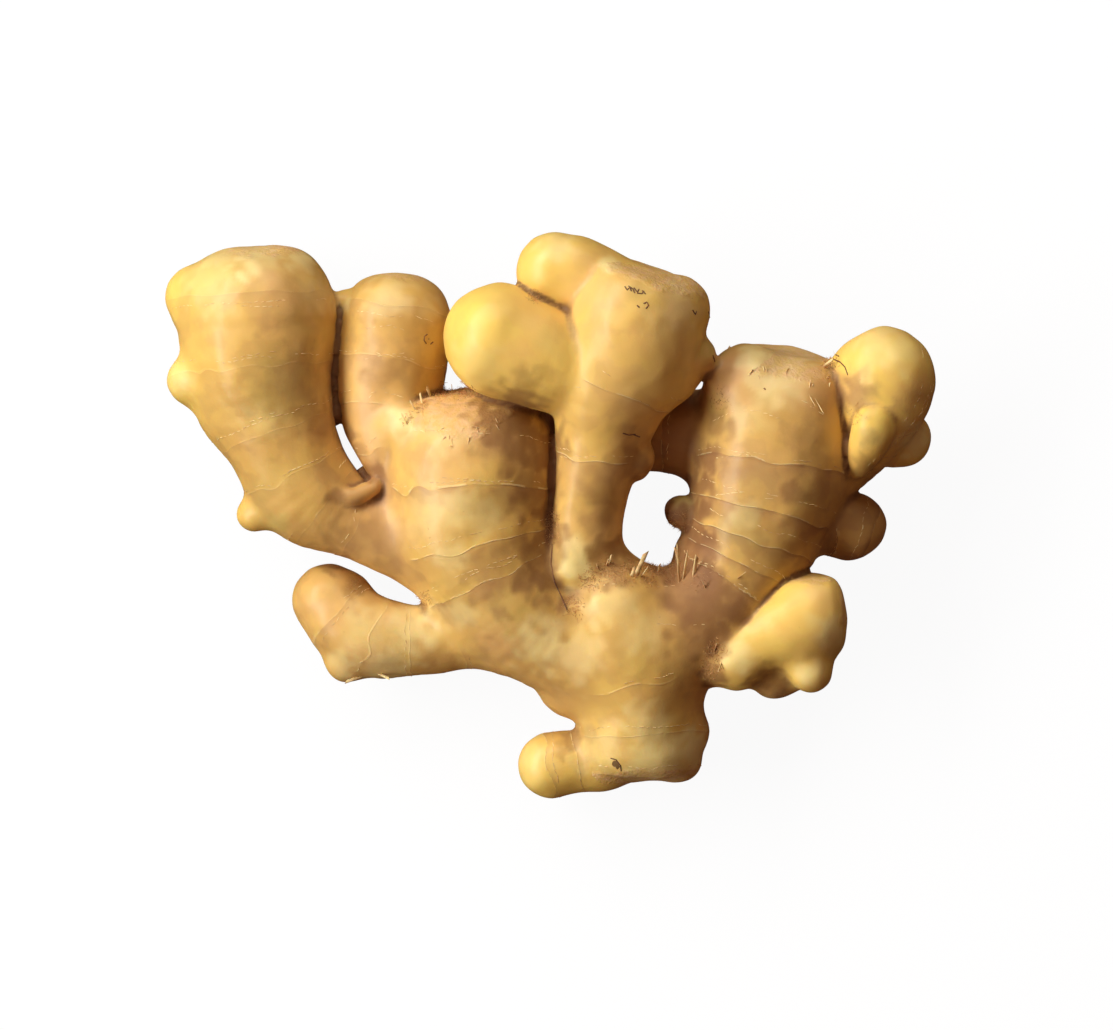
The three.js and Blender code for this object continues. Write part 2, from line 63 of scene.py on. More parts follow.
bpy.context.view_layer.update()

growth = {
    "chainSteps": 6,  # straight pieces between two stations
    "jointBlend": 0.9,  # how softly one piece's measure along the finger gives way to the next, mm
    "looseFrom": 0.5,  # a finger starts to part from its neighbours this many base widths along
    "looseBy": 1.4,  # and from here on it only touches them
    "tipCrease": 0.6,  # how far it still blends with a neighbour there, mm
    "ringHeight": 0.26,  # a growth ring's step at full strength, mm
    "ringLip": 0.62,  # how much of the step is reached before the ring
    "ringSkirt": 4.2,  # how far before the ring the skin starts to rise, mm
    "ringFall": 2.0,  # how quickly it drops past the ring, mm
    "ringEnd": 9.0,  # how far the last ring's tone reaches past it, mm
    "ringTail": 0.49,  # how much of a ring is counted on that way
    "ringWander": 0.65,  # how far a ring strays from a true circle, mm
    "ringClear": (0.5, 3.5),  # a ring's step fades in over this stretch from a crease, mm
    "toneClear": (0.5, 3.0),  # and its colour over this one
    "swellHeight": 0.45,  # slow lumps, mm
    "dimpleHeight": 0.09,  # small lumps, mm
    "dimpleClear": (0, 2),  # where they fade in, mm from a crease
    "ageBlend": 2.0,  # how softly one finger's age gives way to the next, mm
    "slitRim": 1.0,  # how round the edge of the narrow gap is, mm
    "reach": 9.0,  # a finger further away than this has no say, mm
    "faraway": 50.0,  # stands for a ring or an end that isn't there, mm
    "traitLimits": (-50, 80),  # of what is stored on the skin
    "leastSlope": 0.3,  # below it the step towards the skin is held back
    "longestStep": 0.8,  # towards the skin, mm
}

# stations: x, y, z and radius in mm, from the base to the tip. rings: mm along the finger. strength: how well
# they show. faces: healed flat ends as a point, the way it faces and how round its rim is. web: how far the
# finger blends with what it grows from, mm. age: 0 for old brown skin, 1 for young yellow skin, at the base
# and at the tip.
fingers = {
    "mother": {
        "stations": [
            (20.4, -62, 13.5, 11.5), (20.3, -52, 13.5, 13.2), (19.8, -41, 13.8, 14.6),
            (17.5, -30, 16, 15.8), (15.5, -24, 17.5, 13.4),
        ],
        "rings": [6, 15, 28.8], "strength": 0.25, "web": 4, "age": (0.66, 0.56),
        "faces": [((20, -59, 13), (0.05, -1, 0.1), 5)],
    },
    "leftPillar": {
        "stations": [
            (7, -30, 16.5, 12.5), (-5.5, -21.5, 17.5, 14.4), (-13.5, -11.5, 18, 16.2),
            (-16.8, 0, 18.2, 18.2), (-17.4, 11, 18.3, 19.2), (-17, 18, 18, 17),
        ],
        "rings": [28.3, 36.2, 47.6, 57.5], "strength": 0.55, "web": 7, "age": (0.5, 0.56),
        "faces": [((-24, 27.3, 15), (-0.08, 0.99, 0.06), 2.5), ((-22, 19.4, 35.2), (-0.12, 0.74, 0.66), 1.6)],
    },
    "rightPillar": {
        "stations": [
            (20, -30, 16, 13), (34, -22, 17, 13), (42.3, -10.6, 17.5, 12.9), (47.1, 1.4, 17.5, 15.7),
            (49.6, 13, 17.1, 18), (50.6, 22, 17, 17), (50.8, 26, 16.8, 15.5),
        ],
        "rings": [26.5, 32.3, 39.4, 46.1, 54.7], "strength": 0.8, "web": 6, "age": (0.36, 0.46),
        "faces": [((43, 37.2, 19), (0.16, 0.95, 0.3), 3)],
    },
    "farLeft": {
        "stations": [
            (-30, -6, 17, 8.9), (-43, -0.9, 17, 9.1), (-54.6, 6.2, 17.4, 11.8), (-60, 17.2, 17.8, 12.9),
            (-64.5, 30, 17.6, 16), (-65.4, 43.6, 17.4, 18.2),
        ],
        "rings": [15, 24, 32.6, 44.5, 58.5, 70.6], "strength": 0.15, "web": 5, "age": (0.42, 0.58),
        "faces": [((-66, 60.6, 17.6), (0.02, 0.97, 0.2), 4)],
    },
    "farLeftLip": {
        "stations": [
            (-49, 7.4, 24.6, 1.9), (-47, 4.9, 25.2, 2.2), (-43.6, 4, 25.4, 2.3), (-39.8, 6, 23.4, 2),
        ],
        "rings": [], "web": 1.5, "age": (0.3, 0.3),
    },
    "secondLeft": {
        "stations": [
            (-27.5, 0, 18, 8), (-33.2, 9, 17.5, 7.3), (-36.8, 19, 17, 9.2), (-36.1, 31, 16, 12.1),
            (-34.7, 42.4, 15.5, 12.9),
        ],
        "rings": [19.4, 28.4, 37.4, 46.5], "strength": 0.25, "web": 2, "age": (0.45, 0.52),
        "faces": [((-34, 54.6, 16), (0.1, 0.98, 0.15), 3)],
    },
    "lowerLeft": {
        "stations": [
            (-8, -24, 15.5, 9), (-18, -25.2, 15, 8.5), (-29, -27.8, 14.5, 7.8), (-39, -27.2, 14, 9.2),
            (-45.5, -23.5, 13.5, 9), (-49.4, -19, 13, 8.3),
        ],
        "rings": [12, 24.4, 32.5, 40], "strength": 0.22, "web": 6, "age": (0.6, 0.5),
    },
    "centreFinger": {
        "stations": [
            (14, -17, 18, 7.5), (9.4, -8, 22.5, 7), (8.7, 1, 24.5, 7.8), (9.8, 9, 25.8, 8.8),
            (11, 18, 27, 10), (13.5, 28, 28.5, 12.8), (18, 38, 29.5, 15.6), (19.2, 44, 30, 15.6),
        ],
        "rings": [34.2, 52.5], "strength": 0.55, "web": 3, "age": (0.46, 0.62),
        "faces": [((23, 54.6, 28.5), (0.32, 0.92, 0.2), 2.5)],
    },
    "centreHeel": {
        "stations": [(7, -1, 24.5, 6.2), (5.6, -7.5, 26, 5.5), (4.9, -11.4, 26, 4.9)],
        "rings": [], "web": 4, "age": (0.5, 0.95),
    },
    "centreEar": {
        "stations": [(8, 31, 28.5, 10), (-3, 35.8, 29.5, 12.2), (-11.4, 39.2, 30, 12.5)],
        "rings": [], "web": 1.6, "age": (0.66, 0.86),
    },
    "centreHorn": {
        "stations": [(15, 48, 28.5, 9), (7, 52.6, 28.5, 9.1), (1.2, 54.2, 28, 9)],
        "rings": [], "web": 1.2, "age": (0.6, 0.78),
    },
    "hiddenKnob": {
        "stations": [(42, 12, 14, 9), (33, 17.5, 13, 9.6), (26.5, 18.8, 12.5, 9.2), (20, 17.5, 12.5, 7.6)],
        "rings": [8, 17], "strength": 0.4, "web": 3, "age": (0.12, 0.15),
    },
    "rightCrown": {
        "stations": [
            (59, 8, 15, 7), (68.6, 16, 17, 8.2), (73.4, 25.5, 21.5, 10.6), (74.7, 30.3, 22.8, 11.3),
        ],
        "rings": [16, 22], "strength": 0.3, "web": 2, "age": (0.2, 0.9),
    },
    "rightCrownBack": {
        "stations": [(70, 18, 15, 7), (78.8, 17, 12.5, 6.4)],
        # The high age lightens this lobe, which lies in the crown's shade: painted light.
        "rings": [6], "strength": 0.5, "web": 1.5, "age": (0.8, 0.9),
    },
    "rightFrontBud": {
        "stations": [
            (68.4, 11.2, 24, 2.2), (69.8, 15, 27.2, 3.8), (71.2, 19, 29.4, 4.6), (71.6, 20.8, 29.8, 4.5),
        ],
        "rings": [], "web": 1, "age": (0.8, 0.8),
    },
    "rightLow": {
        "stations": [(54, -1, 14, 7.4), (62, -0.8, 13, 7.5), (67.5, -2.2, 12.4, 7.6)],
        "rings": [10, 15], "strength": 0.5, "web": 2, "age": (0.16, 0.34),
    },
    "yellowKnob": {
        "stations": [
            (30, -33, 17.5, 7), (38.5, -31, 20.5, 6), (46.5, -27.6, 22.5, 6.8), (55.4, -24.4, 22, 10.1),
            (57.8, -21.8, 22, 9.8),
        ],
        "rings": [], "web": 1.2, "age": (0.55, 1.0),
        "faces": [((60, -12.9, 22), (-0.05, 1, 0.15), 2), ((66.4, -22, 22), (1, 0.15, 0.1), 3)],
    },
    "lowerBud": {
        "stations": [(18, -50, 12.5, 8), (9, -54, 12, 6.9), (-0.2, -55.7, 11.5, 7.2)],
        "rings": [12.6, 17.6], "strength": 0.35, "web": 3, "age": (0.5, 0.85),
    },
}

# Knobs and buds too short for a line of their own: x, y, z, radius, how far each blends, its age,
# and the finger whose rings run on over it.
knobs = {
    "motherBottomRight": (28.3, -54.3, 12, 4.1, 4, 0.6, "mother"),
    "motherBottomLeft": (12.4, -56.4, 12.5, 4.6, 4, 0.6, "mother"),
    "farLeftShoulder": (-79.3, 49, 18, 6.4, 4, 0.78, "farLeft"),
    "farLeftSide": (-80, 30.2, 18, 5.8, 3, 0.9, "farLeft"),
    "farLeftHeel": (-66.2, 0.3, 17, 4.1, 3, 0.7),
    "secondLeftNub": (-46, 48, 17, 2.6, 2, 0.75),
    "pillarShoulder": (-32.8, 20.3, 25.4, 4.8, 4, 0.62),
    "centreElbow": (17.4, 12.6, 25.4, 5.4, 1, 0.3),
    "centreHip": (26.5, 31.5, 27.5, 6.6, 4, 0.55, "centreFinger"),
    "centreSideBud": (33, 35.9, 28.5, 3.9, 2, 0.3),
    "motherShoulder": (15, -19, 24, 8, 5, 0.72, "mother"),
    "rightPillarBud": (29.3, 0.6, 18, 3.4, 2, 0.1),
    "rightPillarHeel": (31.9, -8.3, 16, 4.3, 3, 0.15),
    "rightPillarShoulder": (42.6, 29.2, 22.5, 8.2, 4, 0.5, "rightPillar"),
    "rightPillarFarShoulder": (57.4, 26.2, 21.5, 7.6, 4, 0.42, "rightPillar"),
    "rightCrownShoulder": (69, 32, 20, 6.6, 4, 0.9),
    "pillarFarShoulder": (-6, 16.5, 12, 9, 4, 0.4, "leftPillar"),
    "motherLeftBump": (4.6, -38.4, 14, 6.2, 3, 0.55, "mother"),
    "centreCorner": (29.4, 46.2, 28.5, 5.1, 4, 0.5, "centreFinger"),
    "lowerLeftBump": (-44, -16.6, 13, 3.2, 3, 0.3),
    "yellowElbow": (42.4, -31.6, 21.5, 7.3, 4, 0.85),
    "yellowBud": (57.6, -34.6, 23.5, 4.8, 3, 0.9),
    "yellowBudEnd": (57.2, -33.5, 19.5, 4.4, 2, 0.85),
    "yellowUnder": (50, -35, 17, 5.9, 3, 0.15),
    "lowerLeftCorner": (-45.5, -33, 13.5, 4.2, 3, 0.65),
    "motherRightStub": (31.5, -48.5, 14, 4, 3, 0.55, "mother"),
}

# A narrow gap that light comes through, between the two left fingers: x, y and half its width along it.
slit = [(-47.4, 20, 0.3), (-45.5, 15.8, 0.8), (-43.6, 12.4, 0.85), (-41.7, 9.4, 0.75), (-40.2, 7.4, 0.2)]


def catmullRom(stations, share):
    # a uniform curve through the stations, with the ends carried on in a straight line
    last = len(stations) - 1
    i = min(int(share * last), last - 1)
    w = share * last - i
    before = stations[i - 1] if i > 0 else 2 * stations[0] - stations[1]
    after = stations[i + 2] if i + 2 <= last else 2 * stations[-1] - stations[-2]
    a, b = stations[i], stations[i + 1]
    fromA, toB = (b - before) / 2, (after - a) / 2
    return (2 * a - 2 * b + fromA + toB) * w**3 + (3 * b - 3 * a - 2 * fromA - toB) * w**2 + fromA * w + a


def chainOf(stations):
    stations = np.array(stations, float)
    count = (len(stations) - 1) * growth["chainSteps"]
    points = np.array([catmullRom(stations, i / count) for i in range(count + 1)]) if count else stations
    steps = np.linalg.norm(np.diff(points[:, :3], axis=0), axis=1)
    return points, np.concatenate([[0], np.cumsum(steps)])


def gatherSolids():
    solids = []
    for name, finger in fingers.items():
        solids.append({"name": name, **finger})
    for name, (x, y, z, radius, web, age, *host) in knobs.items():
        knob = {"name": name, "stations": [(x, y, z, radius)], "rings": [], "web": web, "age": (age, age)}
        solids.append({**knob, "host": host})
    for solid in solids:
        solid["chain"], solid["along"] = chainOf(solid["stations"])
        centres, radii = solid["chain"][:, :3], solid["chain"][:, 3:]
        solid["low"] = (centres - radii).min(0) - growth["reach"]
        solid["high"] = (centres + radii).max(0) + growth["reach"]
        faces = []
        for at, facing, rim in solid.get("faces", []):
            normal = np.array(facing, float) / np.linalg.norm(facing)
            faces.append((normal, normal @ np.array(at, float), rim))
        solid["faces"] = faces
    for solid in solids:
        host = [each for each in solids if each["name"] in solid.get("host", [])]
        solid["ringed"] = host[0] if host else solid
    return solids


def smoothMin(a, b, web):
    near = np.maximum(web - np.abs(a - b), 0) / web
    return np.minimum(a, b) - near * near * web / 4


def smoothStep(low, high, value):
    share = np.clip((value - low) / (high - low), 0, 1)
    return share * share * (3 - 2 * share)


def swell(points, pace=1.0, shift=0.0):
    # a slow wave between -1 and 1
    x, y, z = points.T * pace + shift
    a = np.sin(x * 0.23 + 1.4 * np.sin(y * 0.11 + z * 0.07) + 0.6)
    b = np.sin(y * 0.21 + 1.2 * np.sin(z * 0.13 + x * 0.09) + 2.1)
    c = np.sin(z * 0.27 + 1.3 * np.sin(x * 0.12 + y * 0.08) + 4.2)
    return (a * b + b * c + c * a) / 1.8


def wander(points):
    return growth["ringWander"] * swell(points[:, [2, 0, 1]], 2)


def nearestOnChain(solid, points):
    # how far outside the finger's skin each point is, how far along it lies, and its place on the axis
    chain, along = solid["chain"], solid["along"]
    if len(chain) == 1:
        offset = points - chain[0, :3]
        return np.linalg.norm(offset, axis=1) - chain[0, 3], np.zeros(len(points)), offset
    start, step = chain[:-1], np.diff(chain, axis=0)
    offset = points[:, None, :] - start[None, :, :3]
    run = (offset * step[None, :, :3]).sum(2) / (step[:, :3] ** 2).sum(1)
    share = np.clip(run, 0, 1)
    offset = offset - share[:, :, None] * step[None, :, :3]
    distance = np.linalg.norm(offset, axis=2) - (start[:, 3] + share * step[:, 3])
    best = distance.argmin(1)
    row = np.arange(len(points))
    share[:, -1] = np.maximum(share[:, -1], run[:, -1])  # the last piece's measure runs on past the tip
    places = along[:-1] + np.diff(along) * share
    weight = np.exp(-np.minimum((distance - distance[row, best][:, None]) / growth["jointBlend"], 30))
    return distance[row, best], (places * weight).sum(1) / weight.sum(1), offset[row, best]


def ringPhase(rings, along):
    # counts the rings up to a place, with a share for the way to the next, and gives the gap there in mm
    if not rings:
        return np.full(len(along), -0.5), np.full(len(along), growth["faraway"])
    end, tail = growth["ringEnd"], growth["ringTail"]
    knots = [rings[0] - end, *rings, rings[-1] + end]
    phase = np.interp(along, knots, [-tail, *range(len(rings)), len(rings) - 1 + tail])
    between = np.clip(np.searchsorted(knots, along), 1, len(knots) - 1)
    gap = np.diff(knots)[between - 1]
    gap[(between == 1) | (between == len(knots) - 1)] = end / tail
    return phase, gap


def ringRelief(rings, along):
    height = np.zeros(len(along))
    lip, skirt = growth["ringLip"], growth["ringSkirt"]
    for ring in rings:
        past = along - ring
        beyond = np.maximum(past, 0)
        before = lip * np.maximum(0, 1 + past / skirt) ** 2
        after = np.exp(-beyond / growth["ringFall"]) - (1 - lip) * np.exp(-beyond / skirt)
        height += np.where(past <= 0, before, after)
    return height * growth["ringHeight"]


def fromSlit(points):
    # how far each point is outside the narrow gap, seen from above
    nearest = np.full(len(points), growth["reach"])
    for a, b in zip(slit, slit[1:]):
        a, step = np.array(a), np.subtract(b, a)
        offset = points[:, :2] - a[:2]
        share = np.clip(offset @ step[:2] / (step[:2] @ step[:2]), 0, 1)
        off = np.linalg.norm(offset - share[:, None] * step[:2], axis=1) - (a[2] + share * step[2])
        nearest = np.minimum(nearest, off)
    return nearest


def fieldAt(points, traits=False):
    # how far outside the skin each point is, in mm, and what the skin is like there
    count = len(points)
    whole = np.full(count, growth["reach"])
    nearest, second = whole.copy(), whole.copy()
    relief = np.zeros(count)
    family = np.zeros(count, np.int64)
    found = {name: np.zeros(count) for name in ("along", "ringPhase", "ringGap", "ringStrength", "age")}
    found["endDepth"] = np.full(count, growth["faraway"])
    found["grain"] = np.zeros((count, 3))
    found["owner"] = np.full(count, -1)
    ageWeight = np.full(count, 1e-9)
    for number, solid in enumerate(solids):
        inside = ((points > solid["low"]) & (points < solid["high"])).all(1)
        here = np.nonzero(inside)[0]
        if not len(here):
            continue
        distance, along, offset = nearestOnChain(solid, points[here])
        endDepth = np.full(len(here), growth["faraway"])
        for normal, level, rim in solid["faces"]:
            past = points[here] @ normal - level
            distance = -smoothMin(-distance, -past, rim)
            endDepth = np.minimum(endDepth, -past)
        chain = solid["chain"]
        width = chain[0, 3] * 2
        loose = smoothStep(growth["looseFrom"], growth["looseBy"], along / width) if len(chain) > 1 else 0
        web = solid["web"] + (growth["tipCrease"] - solid["web"]) * loose
        whole[here] = smoothMin(whole[here], distance, web)
        closer = distance < nearest[here]
        ringed = solid["ringed"]
        rival = np.where(closer, nearest[here], np.minimum(second[here], distance))
        second[here] = np.where(family[here] == id(ringed), second[here], rival)
        nearest[here] = np.where(closer, distance, nearest[here])
        won = here[closer]
        family[won] = id(ringed)
        ringAlong = along[closer] if ringed is solid else nearestOnChain(ringed, points[won])[1]
        ringAlong = ringAlong + wander(points[won])
        strength = ringed.get("strength", 0)
        relief[won] = ringRelief(ringed["rings"], ringAlong) * strength
        if traits:
            found["along"][won] = ringAlong
            found["grain"][won] = offset[closer]
            found["endDepth"][won] = endDepth[closer]
            found["owner"][won] = number
            found["ringPhase"][won], found["ringGap"][won] = ringPhase(ringed["rings"], ringAlong)
            found["ringStrength"][won] = strength
            share = np.clip(along / max(solid["along"][-1], 1), 0, 1)
            age = solid["age"][0] + (solid["age"][1] - solid["age"][0]) * share
            weight = np.exp(-np.clip(distance, -20, 20) / growth["ageBlend"])
            found["age"][here] += weight * age
            ageWeight[here] += weight
    crease = second - nearest
    height = relief * smoothStep(*growth["ringClear"], crease) + growth["swellHeight"] * swell(points)
    height += growth["dimpleHeight"] * swell(points, 3.3, 11) * smoothStep(*growth["dimpleClear"], crease)
    whole = -smoothMin(height - whole, fromSlit(points), growth["slitRim"])
    if not traits:
        return whole
    found["age"] /= ageWeight
    found["crease"] = crease
    found["distance"] = whole
    return found


def slopeAt(points, nudge=0.1):
    here = fieldAt(points)
    slope = np.stack([(fieldAt(points + nudge * axis) - here) / nudge for axis in np.eye(3)], axis=1)
    return here, slope


def ontoSkin(points):
    # one step down the field's slope
    here, slope = slopeAt(points)
    step = here / np.maximum((slope**2).sum(1), growth["leastSlope"])
    return points - slope * np.clip(step, -growth["longestStep"], growth["longestStep"])[:, None]


solids = gatherSolids()

skinMesh = {
    "voxel": 0.81 * mm,  # of the fine mesh
    "weld": 0.001 * mm,
    "rounds": 3,  # of evening out
    "hollowRounds": 12,  # of smoothing, to find the creases
    "cutHeight": 80 * mm,
}


def newObject(name, data):
    made = bpy.data.objects.new(name, data)
    scene.collection.objects.link(made)
    return made


def meshFrom(name, work):
    mesh = bpy.data.meshes.new(name)
    work.to_mesh(mesh)
    work.free()
    return newObject(name, mesh)


def replaceMesh(source):
    # the modifiers' result becomes the object's own plain mesh
    graph = bpy.context.evaluated_depsgraph_get()
    mesh = bpy.data.meshes.new_from_object(source.evaluated_get(graph))
    source.modifiers.clear()
    source.data = mesh
    return mesh


def coordinatesOf(mesh):
    flat = np.zeros(len(mesh.vertices) * 3)
    mesh.vertices.foreach_get("co", flat)
    return flat.reshape(-1, 3)


def storeAttribute(mesh, name, values):
    values = np.asarray(values, np.float32)
    kind, field = ("FLOAT_VECTOR", "vector") if values.ndim == 2 else ("FLOAT", "value")
    attribute = mesh.attributes.new(name, kind, "POINT")
    attribute.data.foreach_set(field, values.ravel())


def normalsOf(mesh):
    flat = np.zeros(len(mesh.vertices) * 3)
    mesh.vertices.foreach_get("normal", flat)
    return flat.reshape(-1, 3)


def edgesOf(mesh):
    flat = np.zeros(len(mesh.edges) * 2, int)
    mesh.edges.foreach_get("vertices", flat)
    return flat.reshape(-1, 2).T


def neighbourMean(points, a, b):
    start, end = np.concatenate([a, b]), np.concatenate([b, a])
    count = np.bincount(start, minlength=len(points))
    total = [np.bincount(start, points[end, axis], len(points)) for axis in range(3)]
    return np.stack(total, axis=1) / count[:, None]


def slitCutter():
    # a bar through the upper end of the narrow gap, which the coarse solid leaves bridged
    (x0, y0, _), (x1, y1, width) = slit[:2]
    middle = Vector((x0 + x1, y0 + y1, 0)) / 2 * mm
    run = Vector((x1 - x0, y1 - y0, 0)) * mm
    turn = run.to_track_quat("X", "Z").to_matrix().to_4x4()
    size = Matrix.Diagonal((run.length, 2 * width * mm, skinMesh["cutHeight"], 1))
    work = bmesh.new()
    bmesh.ops.create_cube(work, size=1, matrix=Matrix.Translation(middle) @ turn @ size)
    return meshFrom("slitCutter", work)


def growSkin():
    work = bmesh.new()
    work.from_mesh(frame["nodes"]["rhizome"].data)
    bmesh.ops.remove_doubles(work, verts=work.verts, dist=skinMesh["weld"])
    grown = meshFrom("rhizomeSkin", work)
    cutter = slitCutter()
    cut = grown.modifiers.new("slit", "BOOLEAN")
    cut.object = cutter
    cut.operation = "DIFFERENCE"
    remesh = grown.modifiers.new("fineSkin", "REMESH")
    remesh.mode = "VOXEL"
    remesh.voxel_size = skinMesh["voxel"]
    mesh = replaceMesh(grown)
    bpy.data.objects.remove(cutter)
    points = coordinatesOf(mesh) / mm
    a, b = edgesOf(mesh)
    for _ in range(skinMesh["rounds"]):
        points = ontoSkin((points + neighbourMean(points, a, b)) / 2)
    points = ontoSkin(points)
    points[:, 2] = np.maximum(points[:, 2], 0)  # nothing goes below the floor
    mesh.vertices.foreach_set("co", (points * mm).ravel())
    mesh.update()
    mesh.shade_smooth()
    return grown, points


skin, skinPoints = growSkin()
print("skin grown:", len(skin.data.vertices), "points")


class Wire:
    # a socket in a node tree, so that maths on it reads as Python
    def __init__(self, graph, socket):
        self.graph = graph
        self.socket = socket

    def out(self, name):
        return Wire(self.graph, socketNamed(self.socket.node.outputs, name))

    def math(self, operation, *values):
        return self.graph.node("ShaderNodeMath", {"operation": operation}, dict(enumerate(values)))

    def __add__(self, other):
        return self.math("ADD", self, other)

    def __sub__(self, other):
        return self.math("SUBTRACT", self, other)

    def __rsub__(self, other):
        return self.math("SUBTRACT", other, self)

    def __mul__(self, other):
        return self.math("MULTIPLY", self, other)

    def __abs__(self):
        return self.math("ABSOLUTE", self)

    __radd__ = __add__
    __rmul__ = __mul__

    def above(self, level):
        return self.math("GREATER_THAN", self, level)

    def most(self, other):
        return self.math("MAXIMUM", self, other)

    def power(self, exponent):
        return self.math("POWER", self, exponent)

    def step(self, low, high):
        # eases from 0 to 1 while this one goes from low to high
        inputs = {"Value": self, "From Min": low, "From Max": high}
        return self.graph.node("ShaderNodeMapRange", {"interpolation_type": "SMOOTHSTEP"}, inputs)


def socketNamed(sockets, name):
    if isinstance(name, int):
        return sockets[name]
    for socket in sockets:
        if socket.enabled and name in (socket.identifier, socket.name):
            return socket
    raise KeyError(name)


class Graph:
    def __init__(self, tree):
        self.tree = tree
        tree.nodes.clear()

    @classmethod
    def ofMaterial(cls, name):
        material = bpy.data.materials.new(name)
        material.use_nodes = True
        return material, cls(material.node_tree)

    def node(self, kind, settings=None, inputs=None, output=0):
        made = self.tree.nodes.new(kind)
        for name, value in (settings or {}).items():
            if name == "stops":
                self.setStops(made.color_ramp, value)
            else:
                setattr(made, name, value)
        for name, value in (inputs or {}).items():
            socket = socketNamed(made.inputs, name)
            if isinstance(value, Wire):
                self.tree.links.new(value.socket, socket)
            else:
                socket.default_value = value
        return Wire(self, socketNamed(made.outputs, output)) if len(made.outputs) else made

    @staticmethod
    def setStops(ramp, stops):
        while len(ramp.elements) < len(stops):
            ramp.elements.new(1.0)
        for element, (position, colour) in zip(ramp.elements, stops):
            element.position = position
            element.color = (*colour, 1)

    def attribute(self, name, output="Fac"):
        return self.node("ShaderNodeAttribute", {"attribute_name": name}, output=output)

    def mix(self, factor, first, second):
        # blends two colours
        inputs = {"Factor_Float": factor}
        for name, colour in (("A_Color", first), ("B_Color", second)):
            inputs[name] = colour if isinstance(colour, Wire) else (*colour, 1)
        return self.node("ShaderNodeMix", {"data_type": "RGBA"}, inputs, "Result_Color")

    def inMillimetres(self, vector):
        return self.node("ShaderNodeVectorMath", {"operation": "SCALE"}, {0: vector, "Scale": 1 / mm})

    def objectPlace(self):
        return self.inMillimetres(self.node("ShaderNodeTexCoord", output="Object"))

    def bump(self, height, strength, reach):
        inputs = {"Strength": strength, "Distance": reach, "Height": height}
        return self.node("ShaderNodeBump", {}, inputs, "Normal")

    def surface(self, inputs, settings=None):
        shader = self.node("ShaderNodeBsdfPrincipled", settings, inputs, "BSDF")
        self.node("ShaderNodeOutputMaterial", {}, {"Surface": shader})

    def noise(self, vector, size, detail, shift=0.0):
        # size is how wide a lump is, in the vector's own units
        inputs = {"Vector": vector, "Scale": 1 / size, "Detail": detail, "W": shift}
        return self.node("ShaderNodeTexNoise", {"noise_dimensions": "4D"}, inputs, "Fac")


